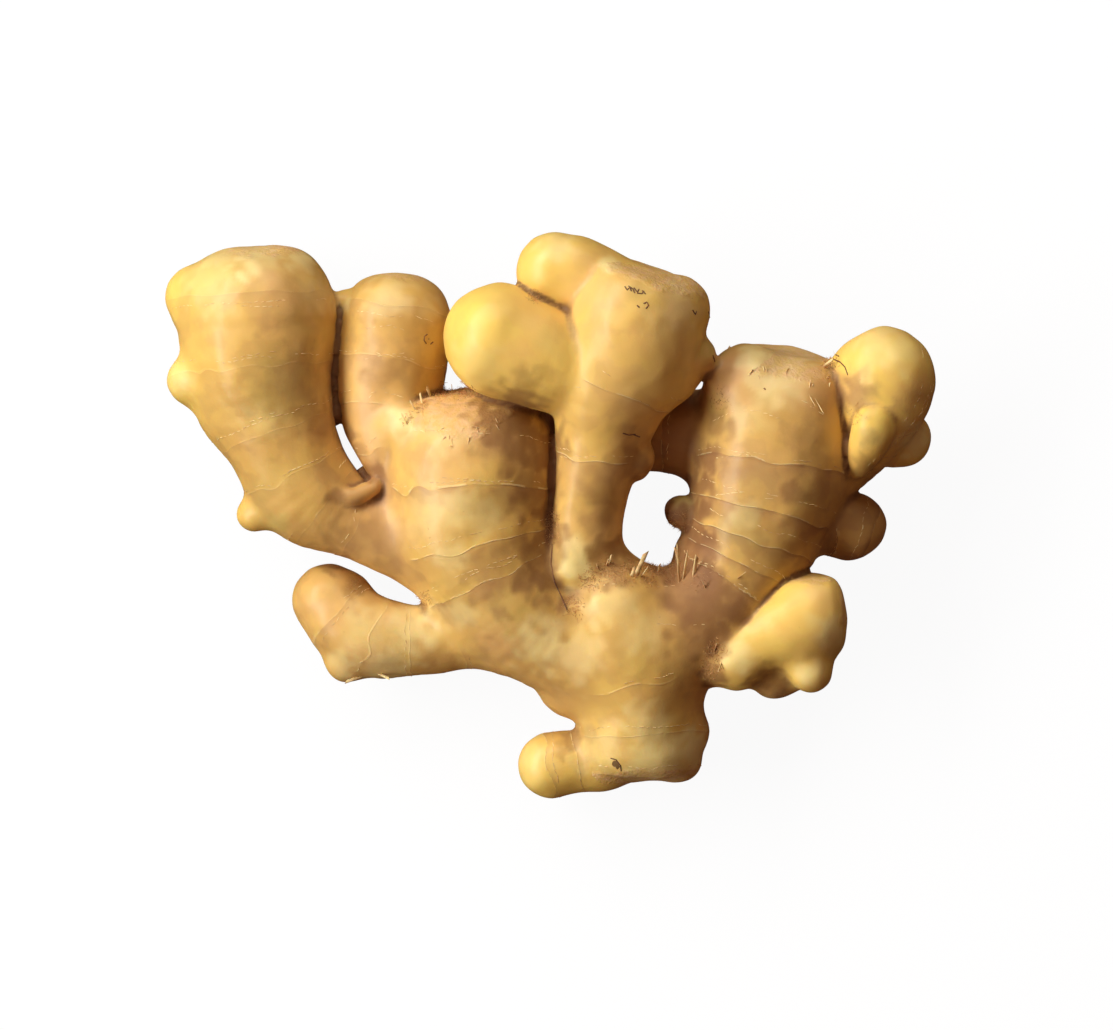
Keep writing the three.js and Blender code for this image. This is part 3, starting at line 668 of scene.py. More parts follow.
skinLook = {
    "ages": [  # the skin's colour from old to young
        (0.0, (0.27, 0.125, 0.042)),
        (0.25, (0.46, 0.245, 0.078)),
        (0.5, (0.70, 0.42, 0.108)),
        (0.75, (0.87, 0.57, 0.122)),
        (1.0, (0.95, 0.67, 0.130)),
    ],
    # crease is the colour of painted shade; brown is old brown skin and also painted shade; pale is pale
    # young skin and also painted highlight
    "colours": {
        "old": (0.27, 0.125, 0.042),
        "middle": (0.70, 0.42, 0.108),
        "crease": (0.13, 0.045, 0.015),
        "scar": (0.78, 0.47, 0.24),
        "fibre": (0.95, 0.76, 0.38),
        "olive": (0.52, 0.43, 0.115),
        "pink": (0.82, 0.46, 0.18),
        "dark": (0.09, 0.034, 0.014),
        "brown": (0.26, 0.110, 0.034),
        "pale": (0.97, 0.80, 0.34),
    },
    # Patterns: how wide a lump is in mm, how many finer ones ride on it, and a shift that sets them apart.
    "patterns": {
        "cloud": (15, 1.5), "mottle": (4.2, 3), "speck": (1.1, 2), "patchy": (6, 1, 5),
        "blotch": (7.5, 3, 31), "warm": (22, 1, 9), "green": (17, 1.5, 21), "scarTone": (1.6, 3, 3),
        "freckled": (9, 1, 2), "broken": (3, 2, 14), "grit": (0.9, 3), "scarGrit": (0.7, 3, 8),
    },
    # Where a pattern starts to show and where it shows fully.
    "ramps": {
        "patchy": (0.35, 0.6), "blotch": (0.47, 0.56), "warm": (0.42, 0.66), "green": (0.52, 0.72),
        "scarTone": (0.35, 0.65), "speck": (0.70, 0.78), "freckled": (0.45, 0.65), "broken": (0.42, 0.54),
    },
    # The same for what is painted on the skin: its name there, and how far the mottle breaks up its edge. The
    # two read from the hollow measure darken the creases, and the second one read from brown darkens the
    # strongest brown marks further: all three are painted shade.
    "edges": {
        "sunken": ("hollow", 0, 0.0, 0.45), "inCrease": ("hollow", 0.08, 0.06, 0.62),
        "brown": ("brown", 0.5, 0.05, 1.0), "deep": ("brown", 0.8, 0.7, 1.7),
        "scarred": ("endDepth", 3.0, 1.6, 0.7), "dark": ("dark", 0.5, 0.45, 0.6),
    },
    "streak": (1.0, 2, 0.12),  # its width in mm, its finer ones and how quickly it changes along the finger
    "beforeRing": (2.2, 0.24),  # the tone before a ring: how late it comes and how dark it is
    "afterRing": (3.0, 0.10),  # and the light one past it
    "bandLeast": 0.4,  # how much of the band shows where it is faintest
    "bandPower": 0.6,
    # A ring's pale edge and the dark line before it, which is painted shadow under the ring's step: how far
    # from the ring, where it starts and where it is full, in mm.
    "edgeLine": (-0.08, 0.20, 0.08), "underLine": (0.25, 0.40, 0.05),
    "edgeFrom": (0, 0.5),  # how strong a ring has to be for its pale edge
    "oliveMark": 0.75,
    "greenCast": 0.20,
    "youth": 0.03,  # added to the skin's age all over
    # How much each part adds to the skin's age, its roughness and its height in mm. The drop of age in the
    # hollows is painted shade.
    "tone": {"cloud": 0.26, "mottle": 0.12, "streak": 0.02, "band": -1, "blotch": -0.08, "sunken": -0.22},
    "rough": {"mottle": 0.14, "inCrease": 0.3, "scarred": 0.25, "edgeLine": 0.15, "brown": 0.22},
    "height": {
        "mottle": 0.08, "grit": 0.04, "streak": 0.01, "edgeLine": 0.12, "rise": 0.10, "underLine": -0.05,
        "freckle": -0.05, "dark": -0.2, "scarGrit": 0.35,
    },
    # The tints in the order they go on: the part, how strongly it shows, and its colour. The pale tint is
    # partly painted highlight, the brown tint partly painted shade, and the three in the crease colour are
    # painted shade.
    "tints": [
        ("warm", 0.30, "pink"), ("green", 1, "olive"), ("pink", 0.6, "pink"), ("pale", 0.75, "pale"),
        ("brown", 0.78, "brown"), ("deep", 0.55, "crease"), ("bareScar", 0.55, "scar"),
        ("inCrease", 0.78, "crease"), ("freckle", 0.35, "old"), ("dark", 0.85, "dark"),
        ("underLine", 0.14, "crease"), ("edgeLine", 0.40, "fibre"),
    ],
    "relief": 0.8,
    "roughness": 0.44,
    "scattering": 0.16,
    "scatterTint": (1.0, 0.36, 0.12),
    "depth": 2.2 * mm,
    "shine": 0.36,
    "coat": 0.12,
    "coatRoughness": 0.30,
}


def addedUp(part, shares, start):
    total = start
    for name, share in shares.items():
        total = total + part[name] * share
    return total


def ringParts(graph, part, strength):
    phase = graph.attribute("ringPhase")
    since = phase.math("FRACT", phase)  # 0 just past a ring, 1 just before the next one
    offset = (phase - phase.math("ROUND", phase)) * graph.attribute("ringGap")  # from the nearest ring, mm
    (late, dark), (early, light) = skinLook["beforeRing"], skinLook["afterRing"]
    until = since.power(late)
    least = skinLook["bandLeast"]
    shown = (part["patchy"] * (1 - least) + least) * strength.power(skinLook["bandPower"])
    part["band"] = (until * dark - (1 - since).power(early) * light) * shown
    part["rise"] = until * strength
    for name in ("edgeLine", "underLine"):
        shift, low, high = skinLook[name]
        part[name] = abs(offset + shift).step(low, high)
    part["edgeLine"] = part["edgeLine"] * strength.step(*skinLook["edgeFrom"]) * part["broken"]
    part["underLine"] = part["underLine"] * strength


def makeSkinMaterial():
    material, graph = Graph.ofMaterial("gingerSkin")
    place = graph.objectPlace()
    part = {name: graph.noise(place, *settings) for name, settings in skinLook["patterns"].items()}
    for name, ramp in skinLook["ramps"].items():
        part[name] = part[name].step(*ramp)
    for name in ("cloud", "mottle"):
        part[name] = part[name] - 0.5
    width, detail, pace = skinLook["streak"]
    grain, along = graph.attribute("grain", "Vector"), graph.attribute("along")
    part["streak"] = graph.noise(grain, width, detail, along * pace) - 0.5
    for name, (source, ragged, low, high) in skinLook["edges"].items():
        part[name] = (graph.attribute(source) + part["mottle"] * ragged).step(low, high)
    for name in ("pink", "pale"):
        part[name] = graph.attribute(name)
    ringParts(graph, part, graph.attribute("ringStrength") * graph.attribute("clear"))
    olive = graph.attribute("olive") * skinLook["oliveMark"]
    part["green"] = (part["green"] * skinLook["greenCast"]).most(olive)
    part["freckle"] = part["speck"] * part["freckled"]
    part["scarGrit"] = part["scarGrit"] * part["scarred"]
    part["bareScar"] = part["scarred"] * (1 - part["brown"])

    tone = addedUp(part, skinLook["tone"], graph.attribute("age") + skinLook["youth"])
    colour = graph.node("ShaderNodeValToRGB", {"stops": skinLook["ages"]}, {"Fac": tone}, "Color")
    tones = dict(skinLook["colours"])
    tones["scar"] = graph.mix(part["scarTone"], tones["scar"], tones["middle"])
    for name, share, tint in skinLook["tints"]:
        colour = graph.mix(part[name] * share, colour, tones[tint])
    height = addedUp(part, skinLook["height"], 0)
    graph.surface({
        "Base Color": colour, "Normal": graph.bump(height, skinLook["relief"], 1 * mm),
        "Roughness": addedUp(part, skinLook["rough"], skinLook["roughness"]),
        "Subsurface Weight": skinLook["scattering"], "Subsurface Radius": skinLook["scatterTint"],
        "Subsurface Scale": skinLook["depth"], "Specular IOR Level": skinLook["shine"],
        "Coat Weight": (1 - part["brown"]) * skinLook["coat"], "Coat Roughness": skinLook["coatRoughness"],
    }, {"subsurface_method": "RANDOM_WALK"})
    return material


# Tints seen from above: x, y and radius in mm, then how strong.
marks = {
    # brown: old brown skin in part, and in part painted shade on flanks turned from the lamps, in creases and
    # where a finger's shadow falls
    "brown": [
        (-47, -5, 8, 0.55), (-56, -3, 5, 0.25), (-36, -12, 7, 0.45), (-20, -15, 8, 0.3), (2, -22, 8, 0.4),
        (14, -34, 8, 0.2), (29, -34, 9, 0.3), (48, -36, 5, 0.8), (46, -39, 4, 0.8), (51, -38, 4, 0.7),
        (3, -52, 4, 0.5), (-44, -16, 4, 0.6), (-49.4, -10.2, 4.2, 0.9), (-45.6, -10.2, 3.6, 0.8),
        (0.6, -15, 3.6, 0.8), (2.6, -19.6, 3.2, 0.8), (26.6, -0.6, 4.4, 1.25), (18, 12, 7, 0.7),
        (17, 18.4, 4, 0.5), (12, 24, 8, 0.25), (10, 6, 10, 0.5), (10.5, -1, 5.5, 0.5), (13, 25, 9, 0.15),
        (-14, -12, 10, 0.6), (-22, -8, 8, 0.2), (-40, -5, 9, 0.45), (-30, 12, 7, 0.3), (34, -16, 9, 0.95),
        (38, -19.6, 9, 0.95), (41, -21.8, 5, 1.1), (36.6, -27, 6, 1.1), (33, -21, 9, 1.1),
        (27.6, -18, 8, 0.55), (31, -28, 8, 0.6), (52, -9, 7, 0.4), (15, -12, 8, 0.7), (8, -16, 5, 0.5),
        (24, -12, 6, 0.6), (29, -12, 9, 1), (34, -13, 8, 0.9), (-43.5, 3, 3.4, 0.5), (-47.5, 4, 3.4, 0.7),
        (-57, 30, 16, 0.5), (-55, 46, 12, 0.3), (-51, 22, 9, 0.6), (-50, 30, 6, 0.4), (-62, 12, 10, 0.2),
        (-4, 6, 10, 0.75), (-2, -8, 9, 0.75), (-2.6, 12, 5, 0.9), (-1.6, 1, 5, 0.9), (-7, 23, 9, 0.9),
        (0, 16, 8, 0.8), (-12, 26, 6, 0.5), (-29, 42, 8, 0.3), (-37, 32, 9, 0.5), (7, -54, 5, 0.35),
        (45, -8, 8, 0.35), (54, 5, 6, 0.6), (-6, 29, 6, 0.5), (71, 17, 4, 0.45), (-40, 10, 6, 0.3),
        (5, -4, 5, 0.2), (38, 31, 5, 0.4), (61, 28, 7, 0.35), (82, 26, 5, 0.3), (70, 10, 6, 0.6),
        (-24, -34, 6, 0.2), (37, -31, 4, 0.7), (36.4, -35.6, 5, 0.9), (33, -6, 6, 1.3), (32.6, 0.6, 5, 1.2),
        (33.4, 6.6, 5, 1), (35.4, 12.6, 5, 0.8), (38, 20, 6, 0.6), (30.4, -18, 9, 0.9), (-13.6, 22, 6, 1),
        (-11, 18.4, 6, 0.8), (-7.6, 22, 9, 0.95), (67.4, 27, 8, 0.7), (70.5, 31, 4, 0.4), (1, -4, 5, 0.85),
        (1.2, -9, 2.4, 0.7), (0.4, -12, 2, 0.9), (1.4, -15.6, 2, 0.9), (3, -19, 2.2, 0.9),
        (4.4, -50, 4, 0.7), (8.9, -49, 4, 0.4), (-42.6, 14.4, 3, 0.6), (-38.6, 9.6, 4, 0.85),
        (-44.4, 18.4, 3, 0.7), (-61.6, 41.7, 5, 0.45), (-1.6, 31.2, 4, 0.4), (18, 49, 4, 0.3),
        (-44, -7, 5, 0.5), (-15, -30, 6, 0.4), (15, -9.4, 4, 0.7), (21, 17, 4, 0.4), (29.6, 0.4, 3.6, 1.4),
        (-8, 15.6, 9, 0.95), (-4, 17, 5, 0.9), (-2.4, -13.6, 5, 1.1), (-2, -19, 4, 0.6),
        (-6.4, -15, 5, 0.8), (12.6, -8, 7, 0.7), (76.4, 24, 4, 0.5), (33, -12.6, 8, 1.15), (31, -15, 7, 1),
        (5.6, -18.4, 3, 0.6), (-10.6, -22, 4, 0.5), (-14, 14, 5, 0.5), (-40.6, 36, 5, 0.3),
        (-33, 25, 4, 0.3), (53, 7, 4, 0.3), (45, -17, 4, 0.4), (-14.6, 22.4, 8, 0.6),
    ],
    # pale: pale young skin in part, and in part painted highlights on tops and painted light on the shaded
    # back lobe of the right crown
    "pale": [
        (-76, 52, 9, 0.4), (-66, 59, 8, 0.8), (-74, 57, 6, 0.6), (-83, 30, 5, 0.5), (5.4, -11, 6.2, 0.9),
        (5.2, -8, 5.2, 0.8), (-33, 21, 4, 0.9), (13, 55, 3, 0.9), (45, 34, 5, 1), (45, 30, 4, 0.6),
        (52, 34, 8, 0.7), (77, 36, 6, 0.5), (-2, -28, 8, 0.7), (20, -26, 7, 0.4), (28, 45, 7, 0.4),
        (50, 30, 9, 0.6), (-31, -25, 9, 0.7), (-41, -27, 8, 0.4), (13, -20, 7, 0.5), (-3, -56, 7, 0.3),
        (-16, 34, 8, 0.25), (41.6, -31.6, 5, 0.85), (57.4, -35, 4.4, 0.8), (-26, 0, 9, 0.3),
        (71, 17, 4, 0.2), (44, 22, 8, 0.3), (-15, 0, 6, 0.35), (-52, 49, 6, 0.35), (10, -52, 8, 0.4),
        (-22, 19, 8, 0.35), (-36, 48, 7, 0.5), (6, -31, 8, 0.5), (24, -56, 10, 0.7), (31, -52, 7, 0.9),
        (-36, -34, 8, 0.7), (-46, -33, 5, 0.6), (1.5, 60, 6, 0.5), (72, 40, 8, 0.4), (81, 17, 6, 1),
        (62, -26, 6, 0.8), (22, -46, 7, 0.6), (-21, 1, 7, 0.5), (-22, -9, 5, 0.5), (-20, -22, 5, 0.5),
        (-42, -24, 7, 0.5), (17, -20, 4, 0.5), (-63, 21, 6, 0.3), (43, 0, 5, 0.4), (28, 50, 4, 0.5),
        (-27, 46, 4, 0.4), (-46.7, 47, 3, 0.8), (-55, 57, 4, 0.6),
    ],
    "pink": [
        (-25, 23, 8, 1), (39, 31, 9, 0.9), (56, 29, 9, 0.6), (66, 28, 5, 0.6), (-60, 54, 10, 0.5),
        (8, 50, 8, 0.5), (28, 45, 7, 0.7), (-52, 48, 7, 0.5), (60, -18, 5, 0.5), (-48, -22, 6, 0.5),
        (-34, 48, 8, 0.3), (79, 27, 7, 0.6), (24, 40, 11, 0.4), (-12, -28, 8, 0.4), (7, -31, 7, 0.4),
        (50, 10, 10, 0.3),
    ],
    "olive": [
        (24, -54, 12, 0.55), (35, 36, 4, 0.8), (5, -11, 5, 0.45), (-10, -22, 8, 0.3), (43, -4, 8, 0.35),
        (46, 8, 7, 0.2), (-60, 28, 12, 0.45), (-61, -2, 4, 0.6), (30, 2, 4, 0.8), (2, 38, 7, 0.3),
        (64, -30, 5, 0.5), (-15, 2, 9, 0.3),
    ],
    # dark: dark scars and dents, and at (-2.4, 21.5) a wide spot of painted shade
    "dark": [
        (14.2, -54.9, 1.3, 0.8), (15, -55.9, 1.3, 0.8), (-27, 39.1, 1, 0.6), (34.2, 44.7, 1, 0.5),
        (-48.9, -9.6, 1.6, 0.5), (-46.6, -9.4, 1.3, 0.45), (-2.4, 21.5, 5, 0.45),
    ],
}


markShape = {
    "facing": (-0.1, 0.3),  # marks fade out where the skin turns away from the sky
    "edge": (1.0, 0.25),  # where a mark starts and where it is full, as shares of its radius
    "stray": 2.2,  # how far its edge wanders, mm
    "strayFrom": 8,  # a mark smaller than this wanders less, mm
}


def paintMarks(mesh, points):
    upward = smoothStep(*markShape["facing"], normalsOf(mesh)[:, 2])
    stray = markShape["stray"] * np.stack([swell(points, 4), swell(points, 4.4, 8)], axis=1)
    for name, spots in marks.items():
        amount = np.zeros(len(points))
        for x, y, radius, strength in spots:
            place = points[:, :2] + stray * min(1, radius / markShape["strayFrom"])
            distance = np.hypot(*(place - (x, y)).T) / radius
            amount = np.maximum(amount, strength * smoothStep(*markShape["edge"], distance) * upward)
        storeAttribute(mesh, name, amount)


def hollowOf(mesh, points):
    # how far a point lies below its smoothed surroundings: above zero in a crease
    a, b = edgesOf(mesh)
    smooth = points.copy()
    for _ in range(skinMesh["hollowRounds"]):
        smooth = (smooth + neighbourMean(smooth, a, b)) / 2
    return ((smooth - points) * normalsOf(mesh)).sum(1)


def paintTraits(mesh, points):
    traits = fieldAt(points, traits=True)
    for name in ("along", "ringPhase", "ringGap", "ringStrength", "endDepth", "grain", "age"):
        storeAttribute(mesh, name, np.clip(traits[name], *growth["traitLimits"]))
    storeAttribute(mesh, "clear", smoothStep(*growth["toneClear"], traits["crease"]))
    storeAttribute(mesh, "hollow", hollowOf(mesh, points))
    paintMarks(mesh, points)


paintTraits(skin.data, skinPoints)
skin.data.materials.clear()
skin.data.materials.append(makeSkinMaterial())
print("skin painted")

skinFaces = [tuple(face.vertices) for face in skin.data.polygons]
skinTree = BVHTree.FromPolygons([tuple(point) for point in skinPoints], skinFaces)


def topAt(x, y):
    # the skin's highest place under a point seen from above, and the way it faces there, in mm
    place, normal, _, _ = skinTree.ray_cast(Vector((x, y, 200)), Vector((0, 0, -1)))
    return place, normal


def lineOnSkin(line, pieces):
    # places on the skin under a line drawn from above, and the way the skin faces at each
    places, normals = [], []
    for (x0, y0), (x1, y1) in zip(line, line[1:]):
        for share in np.linspace(0, 1, pieces + 1)[(1 if places else 0):]:
            place, normal = topAt(x0 + (x1 - x0) * share, y0 + (y1 - y0) * share)
            if place:
                places.append(np.array(place))
                normals.append(np.array(normal))
    return places, normals


def newPaths():
    return {"points": [], "edges": [], "outward": []}


def addPath(store, points, normals):
    start = len(store["points"])
    store["points"] += [tuple(point * mm) for point in points]
    store["outward"] += [tuple(normal) for normal in normals]
    store["edges"] += [(start + i, start + i + 1) for i in range(len(points) - 1)]


def wireObject(name, points, edges, **attributes):
    mesh = bpy.data.meshes.new(name)
    mesh.from_pydata(points, edges, [])
    for label, values in attributes.items():
        storeAttribute(mesh, label, np.array(values))
    return newObject(name, mesh)


def geometryTree(name, *labels):
    tree = bpy.data.node_groups.new(name, "GeometryNodeTree")
    graph = Graph(tree)
    kinds = {"Geometry": "NodeSocketGeometry", "seed": "NodeSocketInt"}
    for label in ("Geometry", *labels):
        kind = kinds.get(label, "NodeSocketFloat")
        tree.interface.new_socket(label, in_out="INPUT", socket_type=kind)
    tree.interface.new_socket("Geometry", in_out="OUTPUT", socket_type="NodeSocketGeometry")
    return graph, graph.node("NodeGroupInput").out


def finishTree(graph, shape, material):
    real = graph.node("GeometryNodeRealizeInstances", {}, {0: shape})
    dressed = graph.node("GeometryNodeSetMaterial", {}, {"Geometry": real, "Material": material})
    graph.node("NodeGroupOutput", {}, {0: dressed})
    return graph.tree


def scatter(graph, points, instance, rotation, scale, material, **more):
    inputs = {"Points": points, "Instance": instance, "Rotation": rotation, "Scale": scale, **more}
    return finishTree(graph, graph.node("GeometryNodeInstanceOnPoints", {}, inputs), material)


def growTree(target, tree, sizes, material):
    # runs a tree on an object, which keeps the plain mesh that comes out
    modifier = target.modifiers.new("growth", "NODES")
    modifier.node_group = tree
    for socket in tree.interface.items_tree:
        if socket.in_out == "INPUT" and socket.name in sizes:
            modifier[socket.identifier] = sizes[socket.name]
    mesh = replaceMesh(target)
    mesh.materials.clear()
    mesh.materials.append(material)
    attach(target, "root")
    print(target.name, "grown:", len(mesh.polygons), "faces")


def randomValue(graph, limits, seed, shift):
    values = {"Min": limits[0], "Max": limits[1], "Seed": seed.math("ADD", seed, shift)}
    return graph.node("FunctionNodeRandomValue", {"data_type": "FLOAT_VECTOR"}, values, "Value")


def turnedBy(graph, rotation, limits, seed):
    twist = randomValue(graph, limits, seed, 1)
    return graph.node("FunctionNodeRotateRotation", {"rotation_space": "LOCAL"}, {0: rotation, 1: twist})


def painted(graph, name, kind="FLOAT_VECTOR"):
    return graph.node("GeometryNodeInputNamedAttribute", {"data_type": kind}, {"Name": name}, "Attribute")


def facing(graph, along, outward):
    # X along a path and Z away from the skin
    align = "FunctionNodeAlignRotationToVector"
    first = graph.node(align, {"axis": "X"}, {"Vector": along})
    return graph.node(align, {"axis": "Z", "pivot_axis": "X"}, {"Rotation": first, "Vector": outward})


def tube(graph, curve, radius, profile):
    # a closed skin round a curve, thinner where the radius is less
    curve = graph.node("GeometryNodeSetCurveRadius", {}, {"Curve": curve, "Radius": radius})
    inputs = {"Curve": curve, "Profile Curve": profile, "Fill Caps": True}
    return graph.node("GeometryNodeCurveToMesh", {}, inputs)


def circle(graph, sides, radius):
    inputs = {"Resolution": sides, "Radius": radius}
    return graph.node("GeometryNodeCurvePrimitiveCircle", {"mode": "RADIUS"}, inputs)


fibres = {
    "spacing": 1.5 * mm,
    "length": 1.9 * mm,
    "width": 0.17 * mm,
    "height": 0.16 * mm,
    "cover": 0.47,  # the noise level above which the edge still carries fibres
    "gaps": (5.0, 2, 4.0),  # that noise: its size in mm, its finer ones and its shift
    "seed": 3,
    "turn": ((-0.1, -0.25, -0.28), (0.1, 0.1, 0.28)),
    "scale": ((0.5, 0.7, 0.7), (1.25, 1.2, 1.2)),
    "colour": (0.93, 0.72, 0.34), "dry": (0.62, 0.38, 0.15), "roughness": 0.62,
    "loopPoints": 90,
    "loopRounds": 14,  # of bringing a loop onto the skin
    "loopStart": 0.7,  # its first radius, as a share of the finger's
    "creaseClear": 1.2,  # a ring shows at least this far from a neighbour, mm
    "offSkin": 0.15,  # how far off the skin a loop may end, mm
    "floorClear": 0.8,
    "breakOver": 3,  # a longer step between two points breaks the path, mm
    "leastPoints": 4,
    "linePieces": 5,
}
dryLook = {
    "patch": (3.0, 3), "patchRamp": (0.4, 0.62),  # where the second colour lies
    "wear": (1.0, 2), "wearShare": 0.2,
    "grit": (0.3, 2), "relief": 0.5, "reliefReach": 0.1 * mm,
    "scattering": 0.1, "depth": 0.4 * mm,
}


def makeDryMaterial(name, look):
    material, graph = Graph.ofMaterial(name)
    place = graph.objectPlace()
    patch = graph.noise(place, *dryLook["patch"]).step(*dryLook["patchRamp"])
    graph.surface({
        "Base Color": graph.mix(patch, look["colour"], look["dry"]),
        "Roughness": graph.noise(place, *dryLook["wear"]) * dryLook["wearShare"] + look["roughness"],
        "Normal": graph.bump(graph.noise(place, *dryLook["grit"]), dryLook["relief"], dryLook["reliefReach"]),
        "Subsurface Weight": dryLook["scattering"], "Subsurface Scale": dryLook["depth"],
    })
    return material


def ringLoop(solid, ring):
    # points of the skin round a finger where a growth ring runs, and whether the ring is clear of neighbours
    chain, along = solid["chain"], solid["along"]
    i = min(max(np.searchsorted(along, ring) - 1, 0), len(along) - 2)
    direction = chain[i + 1, :3] - chain[i, :3]
    direction = direction / np.linalg.norm(direction)
    centre = chain[i, :3] + direction * (ring - along[i])
    side = np.cross(direction, (0, 0, 1))
    side = side / np.linalg.norm(side)
    up = np.cross(side, direction)
    angle = np.linspace(0, 2 * math.pi, fibres["loopPoints"], endpoint=False)[:, None]
    spoke = np.cos(angle) * up + np.sin(angle) * side
    points = centre + spoke * chain[i, 3] * fibres["loopStart"]
    for _ in range(fibres["loopRounds"]):
        points = points - spoke * np.clip(fieldAt(points), -2, 2)[:, None]
        radius = ((points - centre) * spoke).sum(1)
        points = centre + spoke * radius[:, None] - direction * wander(points)[:, None]
    traits = fieldAt(points, traits=True)
    members = [number for number, each in enumerate(solids) if each["ringed"] is solid]
    good = np.isin(traits["owner"], members) & (traits["crease"] > fibres["creaseClear"])
    good &= (np.abs(traits["distance"]) < fibres["offSkin"]) & (points[:, 2] > fibres["floorClear"])
    return points, good


# Fibres lie along these lines too: x and y in mm, as seen from above.
fibreLines = [
    [(-28, -17), (-22, -14), (-15, -11.4), (-8, -9)], [(-13.6, -21), (-9.5, -18.2), (-4.6, -15.2)],
    [(-68, 46.4), (-64, 46.2), (-60.5, 46.4)], [(-70, 34.9), (-66, 35.6), (-61.5, 36.3)],
    [(-66, 21), (-61.8, 22.6)], [(-40, 26.5), (-37.5, 28.2), (-34, 28.6)],
    [(-41, 34.8), (-37, 35.6), (-33, 36)], [(-42, 41.5), (-36, 42.2), (-30, 40.6)],
    [(36.5, 21.2), (41, 23.4), (46, 23.2), (53, 20.6)], [(37, 12.8), (43, 13.6), (51, 11.6)],
    [(35.8, 4.4), (42, 5.2), (50, 3.4)], [(10, -15.6), (14, -15.2)], [(22.4, -15.9), (27.5, -15.6)],
    [(24.2, -24), (29, -24.4), (37, -24)], [(85, 35), (85.4, 30), (83.4, 24), (78, 17), (71, 11.6)],
    [(84.2, 33), (84.4, 28), (82, 22.4), (76, 15.4)], [(82.6, 37), (83.2, 31), (81.4, 25), (79, 21.6)],
    [(-46.8, -19), (-41.2, -14.8)], [(-31, 7.6), (-24, 8.4), (-16, 7.8)],
    [(3.2, 28.7), (9, 28), (15, 28.6)], [(2.4, 13), (7, 12.6), (9.6, 13)], [(56.4, 25.2), (59.8, 22.8)],
    [(59, 33), (62.6, 34.4)],
]


def ringPaths():
    store = newPaths()
    for solid in solids:
        for ring in solid["rings"]:
            points, good = ringLoop(solid, ring)
            _, slope = slopeAt(points)
            normals = slope / np.maximum(np.linalg.norm(slope, axis=1), 1e-6)[:, None]
            runs, last = [], None
            for i in np.roll(np.arange(len(points)), -int(np.argmin(good))):
                if not good[i]:
                    last = None
                    continue
                if last is None or np.linalg.norm(points[i] - points[last]) >= fibres["breakOver"]:
                    runs.append([])
                runs[-1].append(i)
                last = i
            for run in runs:
                if len(run) >= fibres["leastPoints"]:
                    addPath(store, points[run], normals[run])
    for line in fibreLines:
        places, normals = lineOnSkin(line, fibres["linePieces"])
        if len(places) > 1:
            addPath(store, places, normals)
    return wireObject("ringFibres", **store)


def fibreTree(material):
    graph, size = geometryTree("fibreTree", "spacing", "length", "width", "height", "cover", "seed")
    curve = graph.node("GeometryNodeMeshToCurve", {}, {0: size("Geometry")})
    inputs = {"Curve": curve, "Length": size("spacing")}
    curve = graph.node("GeometryNodeResampleCurve", {"mode": "LENGTH"}, inputs)
    place = graph.inMillimetres(graph.node("GeometryNodeInputPosition"))
    shown = graph.noise(place, *fibres["gaps"]).above(size("cover"))
    turn = facing(graph, graph.node("GeometryNodeInputTangent"), painted(graph, "outward"))
    turn = turnedBy(graph, turn, fibres["turn"], size("seed"))
    grain = graph.node("GeometryNodeMeshIcoSphere", {}, {"Radius": 0.5, "Subdivisions": 1})
    shape = graph.node("ShaderNodeCombineXYZ", {}, {0: size("length"), 1: size("width"), 2: size("height")})
    grain = graph.node("GeometryNodeTransform", {}, {"Geometry": grain, "Scale": shape})
    scale = randomValue(graph, fibres["scale"], size("seed"), 2)
    return scatter(graph, curve, grain, turn, scale, material, Selection=shown)


dryMaterial = makeDryMaterial("dryFibre", fibres)
growTree(ringPaths(), fibreTree(dryMaterial), fibres, dryMaterial)

threads = {
    "thickness": 0.15 * mm,
    "sides": 6,
    "radius": 1.15,  # in the middle, as a share of the thickness
    "taper": 1.9,  # how quickly it falls off towards both ends
    "linePieces": 3,
    "colour": (0.13, 0.055, 0.022), "dry": (0.24, 0.11, 0.04), "roughness": 0.7,
}
# Dark dried threads and cracks, and two dark lines laid along creases as painted shade, as x and y in mm seen
# from above.
strokes = [
    [(16.4, 50.5), (16.9, 49.7), (17.5, 50.3), (17.9, 49.4)], [(17.2, 50.6), (18.2, 49.9), (18.6, 49)],
    [(18.4, 50.2), (19.2, 49.2), (19.5, 49.9)], [(19.1, 49), (20.2, 48.9), (20.6, 49.5)],
    [(20.2, 49.6), (21, 48.8)], [(20.5, 46.7), (21.2, 47), (21.6, 46.3), (21, 45.6)],
    [(19.1, 46.3), (19.6, 45.8)], [(31.4, 45.4), (31.9, 44.6)], [(32.3, 45.2), (32, 44.4)],
    [(35, 45.2), (35.3, 43.9)], [(61.8, 35.9), (63.2, 36), (64.2, 35.4)],
    [(63, 34.8), (64.4, 34.1), (65.4, 33), (66, 31.2)], [(47.3, 28.2), (47.7, 27.9)],
    [(13.4, -54), (14.6, -54.3), (15.6, -55.6), (15.7, -56.8)], [(36, 35.6), (36.5, 34.2)],
    [(-27.4, 40.3), (-28, 39.8), (-28.1, 38.9), (-27.6, 38.2)], [(-26.7, 38.1), (-26.1, 38.6)],
    # The heel crease line here and the elbow crease lines below are painted shade.
    [(0.5, -6.4), (0.1, -10.7), (0.9, -14.8), (2.5, -18.2), (3.7, -21)],
    [(16, 18.2), (17.4, 17.8), (18.8, 18)], [(18.4, 17.9), (19.8, 17.4)],
]


def strokePaths():
    store = newPaths()
    for line in strokes:
        addPath(store, *lineOnSkin(line, threads["linePieces"]))
    return wireObject("darkThreads", **store)


